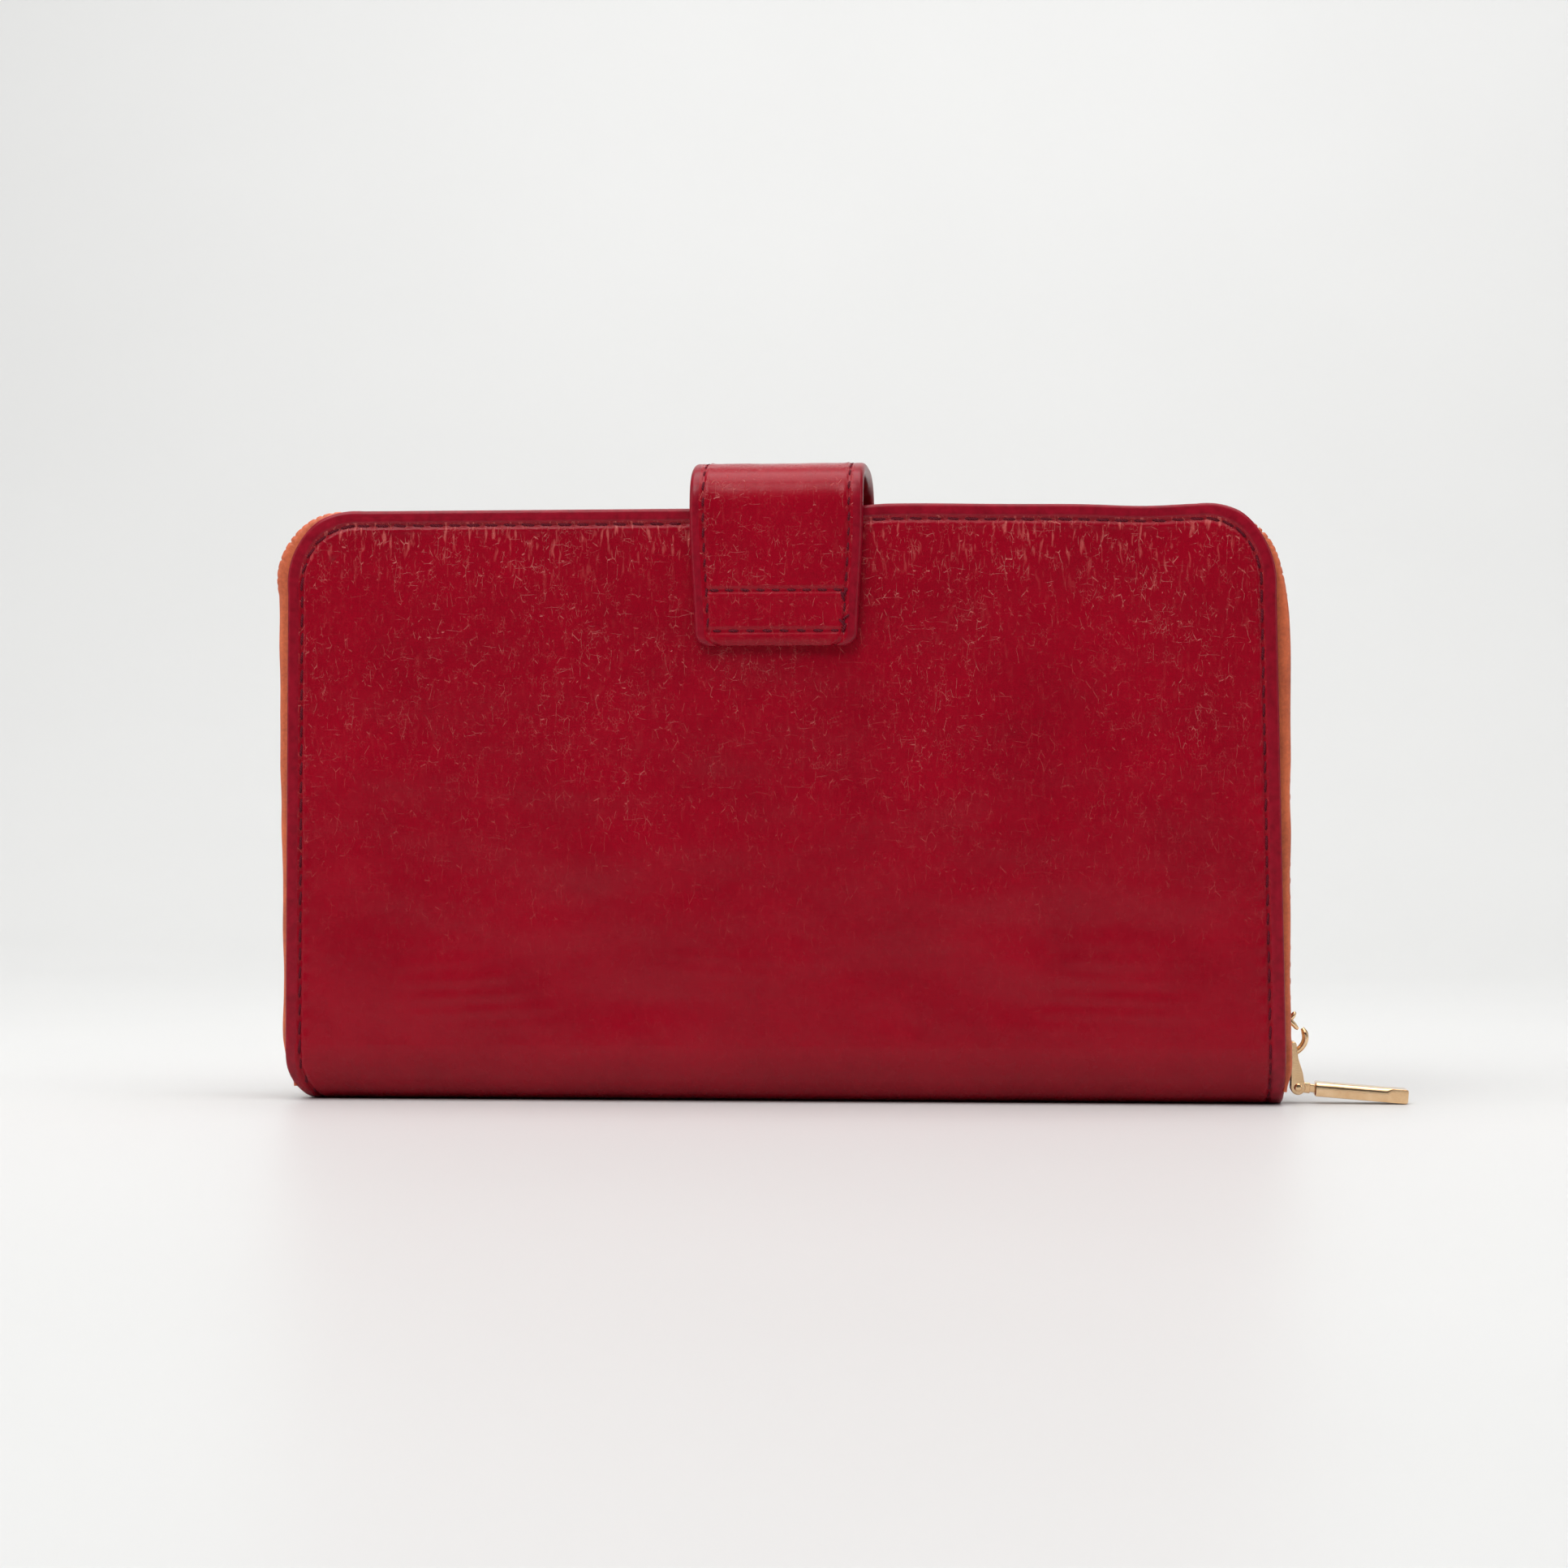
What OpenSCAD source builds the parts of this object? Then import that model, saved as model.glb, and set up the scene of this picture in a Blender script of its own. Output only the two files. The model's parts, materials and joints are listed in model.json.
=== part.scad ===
// Bifold phone wallet: leather cover folded round a zip pouch, closed by a strap.
// Origin: centre of the spine's flat underside. +X along the spine towards the
// zip slider, -Y towards the panel that carries the sewn strap, +Z up.

/* [Cover] */
// width of the leather cover along the spine
body_w = 192; // [184:1:200]
// height from the flat of the spine to the top edge
body_h = 113.5; // [106:1:116]
// corner radius at the top of both panels
corner_r = 15; // [12:1:17]
// thickness of the cover leather
leather_t = 1.4; // [1.2:0.1:1.4]
// thickness of the stiffening board in each panel
board_t = 1.0; // [0.8:0.1:1.0]

/* [Strap] */
// width of the strap where it crosses the top edge
strap_w = 33.5; // [28:0.5:38]
// thickness of the doubled strap leather
strap_t = 2.4; // [2.0:0.1:2.4]
// how far the sewn end reaches below the top edge
strap_sewn = 25.6; // [22:0.2:30]
// how far the free end reaches below the top edge
strap_free = 36; // [34:1:44]

/* [Pouch] */
// how far the edge binding stands out past the cover at each side
binding_out = 2.0; // [1.5:0.1:2.4]
// height of the divider between the phone bay and the note bay
divider_h = 88; // [70:1:94]

/* [Zip pull] */
// length of the pull from its pin to its tip
pull_len = 21; // [17:0.5:23]
// width of the pull
pull_w = 6; // [5:0.2:7]

/* [Build] */
// which node to draw

/* [Hidden] */
$fn = 64;

red = [0.52, 0.02, 0.10];
dark_red = [0.36, 0.01, 0.06];
orange = [0.84, 0.40, 0.23];
card_grey = [0.55, 0.50, 0.44];
lining_tan = [0.70, 0.36, 0.24];
gold = [0.80, 0.60, 0.38];

body_t = 30;
half_t = body_t / 2;
half_w = body_w / 2;
spine_r = 11;
spine_flat = body_t - 2 * spine_r;
panel_z0 = spine_r;

// pouch layers, counted through the thickness
wall_t = 1.0;
pouch_y0 = -12.4;
floor_z0 = 8.6;
floor_t = 1.0;
leaf_y0 = 4.4;
leaf_t = 1.2;
leaf_y1 = leaf_y0 + leaf_t;
leaf_z0 = 10.0;
slot_t = 0.7;
slot_z0 = 13;
slot_step = 13;
slot_top = 86;
lining_t = 0.6;
lining_y1 = half_t - leather_t - board_t;
flap_slot_y1 = lining_y1 - lining_t;

// ring of binding, tape and zip chain round three sides
ring_w = half_w + binding_out;
ring_top = body_h + 0.8;
ring_r = corner_r + 1;
binding_y = 4.0;
binding_in = 4.0;
chain_y = -3.5;
chain_gap = 0.8;
chain_half = 2.6;
coil_in0 = 1.0;
coil_in1 = 2.6;
tape_in1 = 3.1;
back_bind_y0 = -12.6;
back_bind_y1 = back_bind_y0 + binding_y;
front_bind_y0 = 1.6;
front_bind_y1 = front_bind_y0 + binding_y;

// zip slider
slider_z0 = 6.5;
slider_len = 11;
slider_half = 4.1;
plate_in = 0.7;
plate_out = -0.1;
crown_w = 2.4;
crown_r = 3.3;
crown_hole = 2.0;
crown_z = 12.4;
crown_x = ring_w - plate_out;

// pull
bar_r = 0.6;
link_x = crown_x + 0.65;
link_z = crown_z - 1.126;
link_t = 0.8;
link_gap = crown_w + 0.4;
pin_r = 0.8;
pin_x = crown_x + 1.5;
pin_z = 3.1;
pull_tilt = 4.6;
pull_half = 1.35;
neck_w = 2.4;

// snap fastener
snap_z = body_h - 21;
socket_r = 5.5;
socket_hole = 2.1;
stud_r = 2.04;

// stitches
stitch_l = 2.7;
stitch_pitch = 3.6;
stitch_in = 2.9;
stitch_w = 0.6;
stitch_t = 0.3;

module slab(y0, y1) {
  translate([0, y1, 0])
    rotate([90, 0, 0])
      linear_extrude(y1 - y0) children();
}

module along_x(x0, x1) {
  translate([x0, 0, 0])
    rotate([90, 0, 90])
      linear_extrude(x1 - x0) children();
}

module round_top(w, z0, z1, r) {
  translate([-w, z0]) square([2 * w, z1 - r - z0]);
  translate([-w + r, z0]) square([2 * (w - r), z1 - z0]);
  translate([-w + r, z1 - r]) circle(r);
  translate([w - r, z1 - r]) circle(r);
}

module ring(in0, in1, z0) {
  difference() {
    round_top(ring_w - in0, z0, ring_top - in0, ring_r - in0);
    translate([0, -1])
      round_top(ring_w - in1, z0, ring_top - in1 + 1, ring_r - in1);
  }
}

module spine_section(inset) {
  translate([-spine_flat / 2, spine_r]) circle(spine_r - inset);
  translate([spine_flat / 2, spine_r]) circle(spine_r - inset);
  translate([-spine_flat / 2, inset])
    square([spine_flat, 2 * (spine_r - inset)]);
}

module spine_shell(in0, in1, w) {
  along_x(-w, w)
    difference() {
      spine_section(in0);
      spine_section(in1);
      translate([-body_t, panel_z0]) square([2 * body_t, body_t]);
    }
}

module stitch(x, z, turn) {
  translate([x, 0, z])
    rotate([0, turn, 0])
      translate([-stitch_l / 2, 0, -stitch_w / 2])
        cube([stitch_l, stitch_t, stitch_w]);
}

module edge_stitches() {
  side_x = half_w - stitch_in;
  side_n = floor((body_h - corner_r - panel_z0) / stitch_pitch);
  top_n = floor((body_w - 2 * corner_r) / stitch_pitch);
  top_x0 = -(top_n - 1) * stitch_pitch / 2;
  turn_r = corner_r - stitch_in;
  for (i = [0 : side_n - 1]) {
    z = body_h - corner_r - (i + 0.5) * stitch_pitch;
    stitch(-side_x, z, 90);
    stitch(side_x, z, 90);
  }
  for (i = [0 : top_n - 1])
    stitch(top_x0 + i * stitch_pitch, body_h - stitch_in, 0);
  for (a = [11 : 17 : 79]) {
    stitch(half_w - corner_r + turn_r * sin(a), body_h - corner_r + turn_r * cos(a), a);
    stitch(-half_w + corner_r - turn_r * sin(a), body_h - corner_r + turn_r * cos(a), -a);
  }
}

module strap_outline(length, r) {
  half = strap_w / 2;
  end_w = half - 1.1;
  end_z = body_h - length;
  intersection() {
    polygon([[-half, body_h], [half, body_h], [end_w, end_z], [-end_w, end_z]]);
    union() {
      translate([-half - 1, end_z + r]) square([strap_w + 2, length]);
      translate([-half + r, end_z - 1]) square([strap_w - 2 * r, r + 2]);
      translate([-half + r, end_z + r]) circle(r);
      translate([half - r, end_z + r]) circle(r);
    }
  }
}

// back panel

module cover_back() {
  color(red)
    slab(-half_t, -half_t + leather_t)
      round_top(half_w, panel_z0, body_h, corner_r);
}

module board_back() {
  color(card_grey)
    slab(-half_t + leather_t, -half_t + leather_t + board_t)
      round_top(half_w - 1.5, panel_z0 + 1, body_h - 1.5, corner_r - 1.5);
}

module stitching_back() {
  color(dark_red)
    translate([0, -half_t - stitch_t, 0])
      difference() {
        edge_stitches();
        translate([-strap_w / 2 - 0.3, -1, body_h - strap_sewn])
          cube([strap_w + 0.6, 4, strap_sewn + 5]);
      }
}

module strap_anchor() {
  color(red)
    slab(-half_t - strap_t, -half_t)
      strap_outline(strap_sewn, 3);
}

module stitching_strap() {
  rows = floor((strap_sewn - 4) / 3);
  cols = floor((strap_w - 7) / 3);
  side_x = strap_w / 2 - 3.2;
  color(dark_red)
    translate([0, -half_t - strap_t - stitch_t, 0]) {
      for (i = [0 : rows - 1]) {
        stitch(-side_x, body_h - 2 - i * 3, 90);
        stitch(side_x, body_h - 2 - i * 3, 90);
      }
      for (i = [1 : cols - 2]) {
        stitch(-(cols - 1) * 1.5 + i * 3, body_h - strap_sewn + 2.8, 0);
        stitch(-(cols - 1) * 1.5 + i * 3, body_h - strap_sewn + 10.6, 0);
      }
    }
}

// zip pouch, half fixed to the back panel

module pouch_back_wall() {
  color(orange)
    slab(pouch_y0, pouch_y0 + wall_t)
      round_top(ring_w - binding_in, floor_z0 + floor_t, ring_top - binding_in,
                ring_r - binding_in);
}

module binding_back() {
  color(orange) {
    slab(back_bind_y0, back_bind_y1)
      ring(0, binding_in, panel_z0);
    for (side = [-1, 1])
      translate([side * (ring_w - 0.9) - 0.9, back_bind_y0 + 1.2, 3.2])
        cube([1.8, binding_y - 1.2, panel_z0 - 3.2]);
  }
}

module zip_tape_back() {
  color(lining_tan)
    slab(back_bind_y1, chain_y - chain_gap / 2)
      ring(coil_in1, tape_in1, 5);
}

module zip_chain_back() {
  color(lining_tan)
    slab(chain_y - chain_gap / 2 - chain_half, chain_y - chain_gap / 2)
      ring(coil_in0, coil_in1, 6.4);
}

module zip_stops() {
  color(gold)
    for (side = [-1, 1])
      translate([side * (ring_w - (coil_in0 + coil_in1) / 2) - 0.8,
                 chain_y - chain_gap / 2 - chain_half, 5.0])
        cube([1.6, chain_half, 1.3]);
}

module pouch_floor() {
  color(orange)
    translate([-half_w + 4, pouch_y0 + 0.2, floor_z0])
      cube([body_w - 8, leaf_y0 - 0.2 - pouch_y0 - 0.2, floor_t]);
}

module pouch_divider() {
  color(orange)
    translate([-half_w + 11.8, -2.4, floor_z0 + floor_t])
      cube([body_w - 23.6, 0.8, divider_h]);
}

// one fold of a gusset: thin wall bent into a V that points inwards
module gusset() {
  out_x = half_w - 2.6;
  fold_x = half_w - 11;
  translate([0, 0, floor_z0 + floor_t])
    linear_extrude(60)
      polygon([
        [out_x, pouch_y0 + wall_t + 0.1], [out_x, pouch_y0 + wall_t + 0.8],
        [fold_x + 0.7, -2.0], [out_x, leaf_y0 - 0.8],
        [out_x, leaf_y0 - 0.1], [fold_x, -2.0]
      ]);
}

module gusset_right() {
  color(orange) gusset();
}

module gusset_left() {
  color(orange) mirror([1, 0, 0]) gusset();
}

module cover_spine() {
  color(red) spine_shell(0, leather_t, half_w);
}

module spine_lining() {
  color(lining_tan) spine_shell(leather_t, leather_t + 0.8, half_w - 1);
}

// zip pouch, half that swings open

module pouch_front_wall() {
  color(orange)
    slab(leaf_y0, leaf_y1)
      round_top(ring_w - binding_in, leaf_z0, ring_top - binding_in,
                ring_r - binding_in);
}

module binding_front() {
  color(orange)
    slab(front_bind_y0, front_bind_y1)
      ring(0, binding_in, leaf_z0);
}

module zip_tape_front() {
  color(lining_tan)
    slab(chain_y + chain_gap / 2, front_bind_y0)
      ring(coil_in1, tape_in1, leaf_z0);
}

module zip_chain_front() {
  color(lining_tan)
    slab(chain_y + chain_gap / 2, chain_y + chain_gap / 2 + chain_half)
      ring(coil_in0, coil_in1, slider_z0 + slider_len + 0.5);
}

module card_slot(y0, w, top) {
  color(red)
    translate([-w / 2, y0, slot_z0])
      cube([w, slot_t, top - slot_z0]);
}

module card_slot_inner_1() {
  card_slot(leaf_y1, body_w - 12, slot_top);
}

module card_slot_inner_2() {
  card_slot(leaf_y1 + slot_t, body_w - 12, slot_top - slot_step);
}

module card_slot_inner_3() {
  card_slot(leaf_y1 + 2 * slot_t, body_w - 12, slot_top - 2 * slot_step);
}

module card_slot_inner_4() {
  card_slot(leaf_y1 + 3 * slot_t, body_w - 12, slot_top - 3 * slot_step);
}

// front flap

module cover_flap() {
  color(red)
    difference() {
      slab(half_t - leather_t, half_t)
        round_top(half_w, panel_z0, body_h, corner_r);
      translate([0, half_t + 1, snap_z])
        rotate([90, 0, 0]) cylinder(h = leather_t + 2, r = socket_r + 0.05);
    }
}

module board_flap() {
  color(card_grey)
    difference() {
      slab(lining_y1, half_t - leather_t)
        round_top(half_w - 1.5, panel_z0 + 1, body_h - 1.5, corner_r - 1.5);
      translate([0, half_t, snap_z])
        rotate([90, 0, 0]) cylinder(h = leather_t + board_t + 1, r = 5.05);
    }
}

module stitching_flap() {
  color(dark_red)
    translate([0, half_t, 0])
      difference() {
        edge_stitches();
        translate([-strap_w / 2 - 0.5, -1, body_h - strap_sewn])
          cube([strap_w + 1, 4, strap_sewn + 5]);
      }
}

module flap_lining() {
  color(lining_tan)
    slab(lining_y1 - lining_t, lining_y1)
      round_top(half_w - 1, panel_z0 + 0.5, body_h - 1, corner_r - 1);
}

module card_slot_flap_1() {
  card_slot(flap_slot_y1 - slot_t, body_w - 14, slot_top);
}

module card_slot_flap_2() {
  card_slot(flap_slot_y1 - 2 * slot_t, body_w - 14, slot_top - slot_step);
}

module card_slot_flap_3() {
  card_slot(flap_slot_y1 - 3 * slot_t, body_w - 14, slot_top - 2 * slot_step);
}

module card_slot_flap_4() {
  card_slot(flap_slot_y1 - 4 * slot_t, body_w - 14, slot_top - 3 * slot_step);
}

module snap_socket() {
  color(gold)
    translate([0, half_t, snap_z])
      rotate([90, 0, 0])
        difference() {
          cylinder(h = leather_t, r = socket_r);
          translate([0, 0, -1]) cylinder(h = leather_t + 2, r = socket_hole);
        }
}

module snap_post() {
  color(gold)
    translate([0, half_t - leather_t, snap_z])
      rotate([90, 0, 0]) cylinder(h = board_t, r = 5);
}

// strap

module strap_arch() {
  rise = 9;
  color(red)
    along_x(-strap_w / 2, strap_w / 2)
      difference() {
        union() {
          for (side = [-1, 1])
            translate([side * (half_t + strap_t - rise), body_h]) circle(rise);
          translate([-half_t - strap_t + rise, body_h])
            square([2 * (half_t + strap_t - rise), rise]);
        }
        for (side = [-1, 1])
          translate([side * (half_t + strap_t - rise), body_h]) circle(rise - strap_t);
        translate([-half_t - strap_t + rise, body_h - 1])
          square([2 * (half_t + strap_t - rise), rise - strap_t + 1]);
        translate([-body_t, body_h - body_t]) square([2 * body_t, body_t]);
      }
}

module strap_tip() {
  color(red)
    slab(half_t + stitch_t, half_t + strap_t)
      strap_outline(strap_free, 12);
}

module snap_stud() {
  color(gold)
    translate([0, half_t + stitch_t, snap_z])
      rotate([90, 0, 0]) cylinder(h = leather_t, r = stud_r);
}

module snap_cap() {
  color(gold)
    translate([0, half_t + strap_t + 0.9, snap_z])
      rotate([90, 0, 0]) cylinder(h = 0.9, r = 6.2);
}

// zip slider and pull

module slider_body() {
  inner_x = ring_w - tape_in1 - 0.3;
  outer_x = ring_w - plate_in;
  color(gold) {
    translate([outer_x, chain_y - slider_half, slider_z0])
      cube([crown_x - outer_x, 2 * slider_half, slider_len]);
    translate([inner_x - 0.7, chain_y - slider_half, slider_z0])
      cube([0.7, 2 * slider_half, slider_len]);
    for (y = [chain_y - slider_half, chain_y + slider_half - 0.8])
      translate([ring_w - coil_in1 + 0.3, y, slider_z0])
        cube([crown_x - ring_w + coil_in1 - 0.3, 0.8, slider_len]);
    translate([inner_x - 0.7, chain_y - 0.25, slider_z0])
      cube([crown_x - inner_x + 0.7, 0.5, 3]);
  }
}

module slider_crown() {
  color(gold) {
    slab(chain_y - crown_w / 2, chain_y + crown_w / 2)
      difference() {
        translate([crown_x, crown_z]) circle(crown_r);
        translate([crown_x, crown_z]) circle(crown_hole);
        translate([crown_x - 10, crown_z - 10]) square([10, 20]);
        translate([crown_x, crown_z]) rotate(38) square([6, 1]);
      }
    translate([crown_x, chain_y - crown_w / 2, crown_z + crown_hole + 0.2])
      cube([0.7, crown_w, 1.9]);
  }
}

module link_plate() {
  polygon([
    [link_x - bar_r, link_z], [link_x + bar_r, link_z],
    [pin_x + 1.4, pin_z], [pin_x - 1.35, pin_z]
  ]);
  translate([link_x, link_z]) circle(bar_r);
  translate([pin_x, pin_z]) circle(1.38);
}

module pull_link() {
  y_in = link_gap / 2;
  color(gold) {
    difference() {
      union() {
        slab(chain_y + y_in, chain_y + y_in + link_t) link_plate();
        slab(chain_y - y_in - link_t, chain_y - y_in) link_plate();
      }
      translate([pin_x, chain_y + 5, pin_z])
        rotate([90, 0, 0]) cylinder(h = 10, r = pin_r);
    }
    translate([link_x, chain_y + y_in + link_t / 2, link_z])
      rotate([90, 0, 0]) cylinder(h = 2 * y_in + link_t, r = bar_r);
  }
}

module pull_pin() {
  color(gold)
    translate([pin_x, chain_y + link_gap / 2 + link_t + 0.15, pin_z])
      rotate([90, 0, 0])
        cylinder(h = link_gap + 2 * link_t + 0.3, r = pin_r);
}

module pull_bar() {
  color(gold)
    translate([pin_x, chain_y, pin_z])
      rotate([0, pull_tilt, 0])
        difference() {
          union() {
            rotate([90, 0, 0])
              translate([0, 0, -neck_w / 2]) cylinder(h = neck_w, r = 1.35);
            translate([0, -neck_w / 2, -0.9]) cube([4, neck_w, 1.8]);
            slab(-pull_w / 2, pull_w / 2)
              polygon([
                [3, -0.8], [3.6, -pull_half], [pull_len - 0.3, -pull_half],
                [pull_len, -pull_half + 0.4], [pull_len, pull_half - 0.9],
                [pull_len - 0.9, pull_half], [pull_len - 3, pull_half],
                [pull_len - 3.4, pull_half - 0.35], [3.6, pull_half - 0.35],
                [3, 0.8]
              ]);
          }
          rotate([90, 0, 0])
            translate([0, 0, -5]) cylinder(h = 10, r = pin_r + 0.05);
        }
}

cover_back();
board_back();
stitching_back();
strap_anchor();
stitching_strap();
pouch_back_wall();
binding_back();
zip_tape_back();
zip_chain_back();
zip_stops();
pouch_floor();
pouch_divider();
gusset_left();
gusset_right();
cover_spine();
spine_lining();
pouch_front_wall();
binding_front();
zip_tape_front();
zip_chain_front();
card_slot_inner_1();
card_slot_inner_2();
card_slot_inner_3();
card_slot_inner_4();
cover_flap();
board_flap();
stitching_flap();
flap_lining();
card_slot_flap_1();
card_slot_flap_2();
card_slot_flap_3();
card_slot_flap_4();
snap_socket();
snap_post();
strap_arch();
strap_tip();
snap_stud();
snap_cap();
slider_body();
slider_crown();
pull_link();
pull_pin();
pull_bar();
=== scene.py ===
import json
import math
import bpy
import numpy as np
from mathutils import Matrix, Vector, noise


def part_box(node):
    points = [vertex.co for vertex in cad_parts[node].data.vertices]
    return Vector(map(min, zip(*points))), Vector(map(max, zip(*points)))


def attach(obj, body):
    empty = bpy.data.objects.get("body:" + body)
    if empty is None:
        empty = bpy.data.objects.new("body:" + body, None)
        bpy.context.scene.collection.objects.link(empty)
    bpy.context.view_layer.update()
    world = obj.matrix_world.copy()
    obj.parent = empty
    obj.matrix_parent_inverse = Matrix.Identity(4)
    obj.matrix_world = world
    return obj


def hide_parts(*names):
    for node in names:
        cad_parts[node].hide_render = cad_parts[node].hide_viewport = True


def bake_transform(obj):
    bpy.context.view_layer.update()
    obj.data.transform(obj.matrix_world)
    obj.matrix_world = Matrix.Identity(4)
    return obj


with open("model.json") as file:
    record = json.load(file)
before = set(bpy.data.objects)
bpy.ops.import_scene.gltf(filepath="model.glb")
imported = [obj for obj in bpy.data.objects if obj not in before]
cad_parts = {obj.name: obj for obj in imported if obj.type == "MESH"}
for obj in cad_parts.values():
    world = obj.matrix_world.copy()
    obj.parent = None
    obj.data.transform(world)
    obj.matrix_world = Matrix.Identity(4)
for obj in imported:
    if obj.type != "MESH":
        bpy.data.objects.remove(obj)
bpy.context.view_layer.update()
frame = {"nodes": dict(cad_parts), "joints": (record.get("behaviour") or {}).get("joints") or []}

# Lengths are millimetres until a mesh is made. X runs along the spine, -Y faces the
# panel with the sewn strap end, Z is up.
MM = 0.001


def node_box(name):
    lo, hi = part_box(name)
    return np.array(lo) * 1000, np.array(hi) * 1000


COVER_LO, COVER_HI = node_box("cover_back")
FLAP_HI = node_box("cover_flap")[1]
SPINE_HI = node_box("cover_spine")[1]
RING_LO, RING_HI = node_box("binding_back")
FRONT_LO, FRONT_HI = node_box("binding_front")
ANCHOR_LO, ANCHOR_HI = node_box("strap_anchor")
ARCH_HI = node_box("strap_arch")[1]
TIP_LO = node_box("strap_tip")[0]
CHAIN_B_LO, CHAIN_B_HI = node_box("zip_chain_back")
CHAIN_F_LO = node_box("zip_chain_front")[0]

HALF_W = COVER_HI[0]
TOP = COVER_HI[2]
HALF_T = FLAP_HI[1]
LEATHER = COVER_HI[1] - COVER_LO[1]
PANEL_Z0 = COVER_LO[2]
CORNER = 15.0
PITCH = 3.6
STITCH_IN = 2.9
SPINE_R = SPINE_HI[2]
RING_W = RING_HI[0]
RING_TOP = RING_HI[2]
RING_R = CORNER + 1.0
# distances in from the edge at which a panel with a sewn border is sampled
BORDER_STEPS = (1.1, 1.6, 2.0, 2.3, 2.5, 2.7, 2.9, 3.1, 3.3, 3.6, 3.9, 4.3, 4.9, 5.8, 7.0)


# ---------------------------------------------------------------- mesh helpers

def make(name, verts, faces, uvs=None, material=None, body=None,
         replaces=(), smooth=True, blend=None, split_caps=True):
    verts, faces = list(verts), list(faces)
    uvs = None if uvs is None else list(uvs)
    # end caps get corners of their own, so the skin next to them keeps its shading
    for k, f in enumerate(faces):
        if len(f) > 4 and split_caps:
            faces[k] = tuple(range(len(verts), len(verts) + len(f)))
            verts += [verts[i] for i in f]
            if uvs is not None:
                uvs += [uvs[i] for i in f]
    me = bpy.data.meshes.new(name)
    me.from_pydata([tuple(c * MM for c in v) for v in verts], [], faces)
    me.update()
    if uvs is not None:
        layer = me.uv_layers.new(name="UVMap")
        loop_vert = np.empty(len(me.loops), int)
        me.loops.foreach_get("vertex_index", loop_vert)
        flat = np.asarray(uvs, float)[loop_vert] * 0.01
        layer.data.foreach_set("uv", flat.ravel())
    if smooth:
        me.polygons.foreach_set("use_smooth", [len(f) <= 4 for f in faces])
    ob = bpy.data.objects.new(name, me)
    bpy.context.scene.collection.objects.link(ob)
    if material:
        me.materials.append(material)
    if blend:
        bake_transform(ob)
    elif body:
        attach(ob, body)
    if replaces:
        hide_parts(*replaces)
    return ob


def outward(verts, faces):
    """Flips every face when the closed mesh is inside out."""
    v = np.asarray(verts, float)
    volume = 0.0
    for f in faces:
        for k in range(1, len(f) - 1):
            volume += np.dot(v[f[0]], np.cross(v[f[k]], v[f[k + 1]]))
    return [tuple(reversed(f)) for f in faces] if volume < 0 else faces


def tube(rings, closed_ring=True, cap=True):
    """Faces that join a list of equal rings of points into one skin."""
    n = len(rings[0])
    verts = [p for r in rings for p in r]
    faces = []
    last = n if closed_ring else n - 1
    for i in range(len(rings) - 1):
        for j in range(last):
            a = i * n + j
            b = i * n + (j + 1) % n
            faces.append((a, b, b + n, a + n))
    if cap and closed_ring:
        faces.append(tuple(range(n - 1, -1, -1)))
        faces.append(tuple((len(rings) - 1) * n + j for j in range(n)))
    return verts, faces


def skin(rings):
    v, f = tube(rings)
    return v, outward(v, f)


def around(n):
    """n angles evenly round a circle."""
    return np.linspace(0, 2 * math.pi, n, endpoint=False)


def square_off(c, power):
    """A sine or cosine that makes a circle squarer as power falls below 1."""
    return math.copysign(abs(c) ** power, c)


def lengths(pts):
    """Length of the line through pts, from its start to each point."""
    return np.concatenate([[0], np.cumsum(np.linalg.norm(np.diff(pts, axis=0), axis=1))])


def along(at, cum, pts):
    """The two coordinates of pts at a length. cum holds the lengths at its points."""
    return np.interp(at, cum, pts[:, 0]), np.interp(at, cum, pts[:, 1])


def bands(rows, n):
    """Faces between rows of n vertices each, open at both ends."""
    return [(a, a + 1, a + 1 + n, a + n)
            for k in range(rows - 1) for a in range(k * n, k * n + n - 1)]


def merge(parts):
    verts, faces, uvs = [], [], []
    for part in parts:
        base = len(verts)
        verts += list(part[0])
        faces += [tuple(i + base for i in f) for f in part[1]]
        if len(part) > 2:
            uvs += list(part[2])
    return verts, faces, uvs


def u_path(w, top, r, z0, step):
    """Points and outward normals up one side, round the top and down the other."""
    leg = max(2, round((top - r - z0) / step))
    arc = max(6, 2 * round(math.pi / 2 * r / step / 2))
    flat = max(2, round(2 * (w - r) / step))
    pts, nrm = [], []
    for i in range(leg):
        pts.append((-w, z0 + (top - r - z0) * i / leg))
        nrm.append((-1.0, 0.0))
    for i in range(arc):
        a = math.pi / 2 * i / arc
        pts.append((-w + r - r * math.cos(a), top - r + r * math.sin(a)))
        nrm.append((-math.cos(a), math.sin(a)))
    for i in range(flat):
        pts.append((-w + r + 2 * (w - r) * i / flat, top))
        nrm.append((0.0, 1.0))
    for i in range(arc):
        a = math.pi / 2 * i / arc
        pts.append((w - r + r * math.sin(a), top - r + r * math.cos(a)))
        nrm.append((math.sin(a), math.cos(a)))
    for i in range(leg + 1):
        pts.append((w, top - r - (top - r - z0) * i / leg))
        nrm.append((1.0, 0.0))
    pts, nrm = np.array(pts), np.array(nrm)
    return pts, nrm, lengths(pts), leg, arc, flat


def smooth_step(a, b, x):
    t = np.clip((x - a) / (b - a), 0, 1)
    return t * t * (3 - 2 * t)


def wander(x, z, size, seed):
    return noise.noise(Vector((x / size, z / size, seed)))


# ---------------------------------------------------------------- materials

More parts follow.
